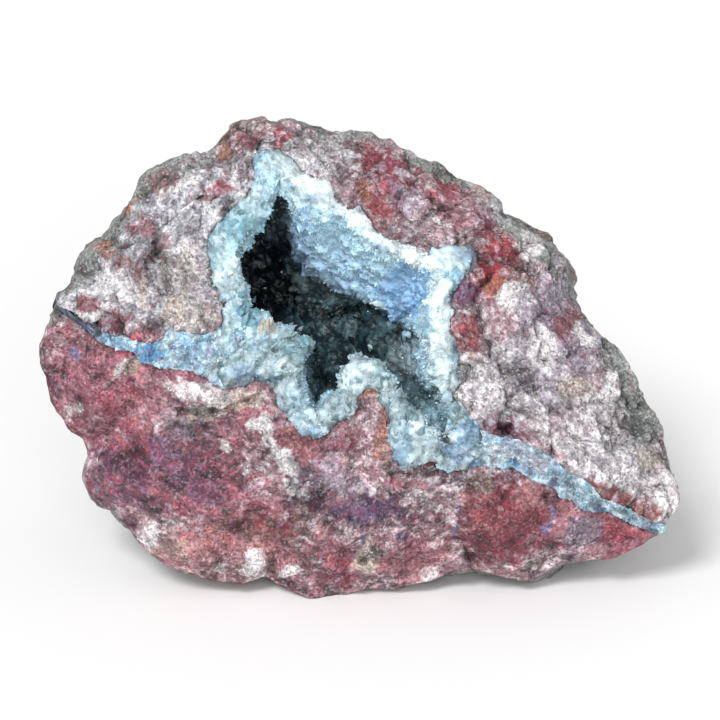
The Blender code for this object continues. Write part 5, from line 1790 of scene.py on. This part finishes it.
@dataclass
class CrystalPoints:
    """Six-sided quartz points that stand on a crystal surface."""

    name: str
    count: int = 0
    width_mm: tuple[float, float] = (0.5, 1.2)
    length_share: tuple[float, float] = (0.8, 1.5)
    point_share: float = 0.5
    taper: float = 0.88
    lean: float = 0.5
    size_range: tuple[float, float] = (0.5, 1.1)
    root_share: float = 0.4
    root_mm: float = 2.2
    root_reach_mm: float = 1.2
    tip_shift: float = 0.25
    sides: int = 6
    corner_range: tuple[float, float] = (0.7, 1.15)
    shade_range: tuple[float, float] = (0.78, 1.14)
    seed: int = 5

    def scattered(self, ground: Ground, weight: np.ndarray) -> bpy.types.Object:
        """Small points at chance places, more of them where the weight is larger.

        Args:
            ground: The surface they stand on.
            weight: How likely a point stands at each place, (rows, columns).

        Returns:
            The points, joined in one mesh.
        """
        dice = np.random.default_rng(self.seed)
        steps = np.gradient(ground.surface, axis=1), np.gradient(ground.surface, axis=0)
        odds = (np.linalg.norm(np.cross(*steps), axis=2) * weight).ravel()
        picked = dice.choice(len(odds), self.count, replace=False, p=odds / odds.sum())
        axis = ground.normals.reshape(-1, 3)[picked] + dice.normal(0, self.lean, (self.count, 3))
        axis /= np.linalg.norm(axis, axis=1, keepdims=True)
        width = self.width_mm[0] + (self.width_mm[1] - self.width_mm[0]) * dice.random(self.count) ** 2
        length = width * dice.uniform(*self.length_share, self.count)
        root = ground.surface.reshape(-1, 3)[picked] - axis * (length * self.root_share)[:, None]
        return self.joined(root, axis, width / 2, length, ground.colours.reshape(-1, 3)[picked], dice)

    def clustered(self, ground: Ground, clusters: Sequence) -> bpy.types.Object:
        """Large crystals, several at each of the given places.

        Args:
            ground: The surface they stand on.
            clusters: u, v, spread, count, radius, length, lean right, lean up and colour of each cluster.

        Returns:
            The crystals, joined in one mesh.
        """
        dice = np.random.default_rng(self.seed)
        flat = ground.surface.reshape(-1, 3)
        roots, axes, sizes, colours = [], [], [], []
        for u, v, spread, count, radius, length, lean_u, lean_v, mineral in clusters:
            for aside, above in dice.normal(0, spread, (count, 2)):
                axis = np.array((lean_u, lean_v, 1.0)) + dice.normal(0, self.lean, 3)
                axis /= np.linalg.norm(axis)
                gap = np.hypot(flat[:, 0] - u - aside, flat[:, 1] - v - above)
                near = flat[gap < self.root_reach_mm]
                size = dice.uniform(*self.size_range)
                roots.append(near[np.argmax(near[:, 2])] - axis * self.root_mm)
                axes.append(axis)
                sizes.append((radius * size, length * size + self.root_mm))
                colours.append(linear(mineral.value))
        radii, lengths = np.array(sizes).T
        return self.joined(np.array(roots), np.array(axes), radii, lengths, np.array(colours), dice)

    def joined(self, root: np.ndarray, axis: np.ndarray, radius: np.ndarray, length: np.ndarray,
               colours: np.ndarray, dice: np.random.Generator) -> bpy.types.Object:
        """Six-sided crystals, one for each root, in one mesh: a ring, a narrower ring above it and a tip.

        Args:
            root: Where each crystal starts.
            axis: Which way it grows.
            radius: Half its width.
            length: Its whole length.
            colours: Its linear colour.
            dice: Chance for turn, corners and shade.

        Returns:
            The object.
        """
        count = len(root)
        side = np.cross(axis, dice.normal(0, 1, (count, 3)))
        side /= np.linalg.norm(side, axis=1, keepdims=True)
        other = np.cross(axis, side)
        angle = np.arange(self.sides) * 2 * math.pi / self.sides
        ring = side[:, None] * np.cos(angle)[None, :, None] + other[:, None] * np.sin(angle)[None, :, None]
        ring *= (radius[:, None] * dice.uniform(*self.corner_range, (count, self.sides)))[..., None]
        body = (length * (1 - self.point_share))[:, None, None]
        low = root[:, None] + ring
        high = root[:, None] + ring * self.taper + axis[:, None] * body
        shift = dice.normal(0, self.tip_shift, (count, 2)) * radius[:, None]
        tip = root + axis * length[:, None] + side * shift[:, :1] + other * shift[:, 1:]
        points = np.concatenate([low, high, tip[:, None]], axis=1)
        k = np.arange(self.sides)
        n = (k + 1) % self.sides
        up = self.sides
        faces = np.concatenate([np.stack([k, n, n + up], 1), np.stack([k, n + up, k + up], 1),
                                np.stack([k + up, n + up, np.full(up, 2 * up)], 1)])
        faces = (faces[None] + points.shape[1] * np.arange(count)[:, None, None]).reshape(-1, 3)
        shades = colours * dice.uniform(*self.shade_range, (count, 1))
        tint = np.repeat(tinted(shades), points.shape[1], axis=0)
        return make_piece(self.name, points.reshape(-1, 3), faces, tint, POINT_FINISH, flat=True)


@dataclass
class Studio:
    """A pale floor, soft light and the camera."""

    floor_m: float = 3.0
    distance_m: float = 1.6
    sensor_mm: float = 36.0
    aim_mm: tuple[float, float, float] = (0.23, -0.23, 0.0)
    world: float = 0.5

    def build(self) -> None:
        """Makes the floor, the lights and the camera."""
        world = bpy.data.worlds.new("studio")
        bpy.context.scene.world = world
        world.use_nodes = True
        world.node_tree.nodes["Background"].inputs[0].default_value = (1, 1, 1, 1)
        world.node_tree.nodes["Background"].inputs[1].default_value = self.world
        half = self.floor_m / 2
        mesh = bpy.data.meshes.new("floor")
        mesh.from_pydata([(-half, -half, 0), (half, -half, 0), (half, half, 0), (-half, half, 0)], [],
                         [(0, 1, 2, 3)])
        # Matt white paper: an even pale ground that shows no gloss
        paper = bpy.data.materials.new("white_paper_floor")
        paper.use_nodes = True
        shader = paper.node_tree.nodes["Principled BSDF"]
        shader.inputs["Base Color"].default_value = (0.97, 0.97, 0.97, 1)
        shader.inputs["Roughness"].default_value = 0.9
        mesh.materials.append(paper)
        floor = bpy.data.objects.new("floor", mesh)
        bpy.context.collection.objects.link(floor)
        self.lamp("key", above=44.0, aside=-24.0, soft=20.0, strength=2.05)
        self.lamp("front", above=22.0, aside=4.0, soft=30.0, strength=0.95)
        camera = bpy.data.objects.new("camera", bpy.data.cameras.new("camera"))
        bpy.context.collection.objects.link(camera)
        lean = math.radians(LEAN_DEG)
        aim = standing(np.array([self.aim_mm]))[0]
        camera.location = aim + self.distance_m * np.array((0.0, -math.cos(lean), math.sin(lean)))
        camera.rotation_euler = (math.pi / 2 - lean, 0.0, 0.0)
        camera.data.sensor_width = self.sensor_mm
        camera.data.lens = self.sensor_mm * self.distance_m / (FRAME_WIDTH_MM * MM)
        bpy.context.scene.camera = camera
        bpy.context.scene.view_settings.view_transform = "Standard"

    def lamp(self, name: str, above: float, aside: float, soft: float, strength: float) -> None:
        """Adds a broad far light that faces the stone.

        Args:
            name: The lamp's name.
            above: How high it stands over the horizon, in degrees.
            aside: How far to the right of the front it stands, in degrees.
            soft: How wide it looks from the stone, in degrees.
            strength: Its strength.
        """
        light = bpy.data.lights.new(name, "SUN")
        light.angle = math.radians(soft)
        light.energy = strength
        made = bpy.data.objects.new(name, light)
        bpy.context.collection.objects.link(made)
        made.rotation_euler = (math.pi / 2 - math.radians(above), 0.0, math.radians(aside))


def main() -> None:
    """Builds every piece and ties it to the frame."""
    logging.basicConfig(level=logging.INFO)
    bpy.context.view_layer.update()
    rock = HostRock().build()
    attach(rock, "root")
    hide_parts("host_rock")
    crust = CrystalCrust()
    pieces = [crust.build(), crust.points()]
    large = CrystalPoints("large_crystals", point_share=0.4, lean=0.35)
    pieces.append(large.clustered(crust.ground, CRYSTAL_CLUSTERS))
    for vein in (Vein("left_vein", *VEIN_EDGES[0], dark_until=0.3),
                 Vein("right_vein", *VEIN_EDGES[1], dark_until=-1.0)):
        pieces += [vein.build(), vein.points()]
    for piece in pieces:
        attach(piece, "root")
        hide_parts("crystal_crust")
    Studio().build()


if __name__ == "__main__":
    main()
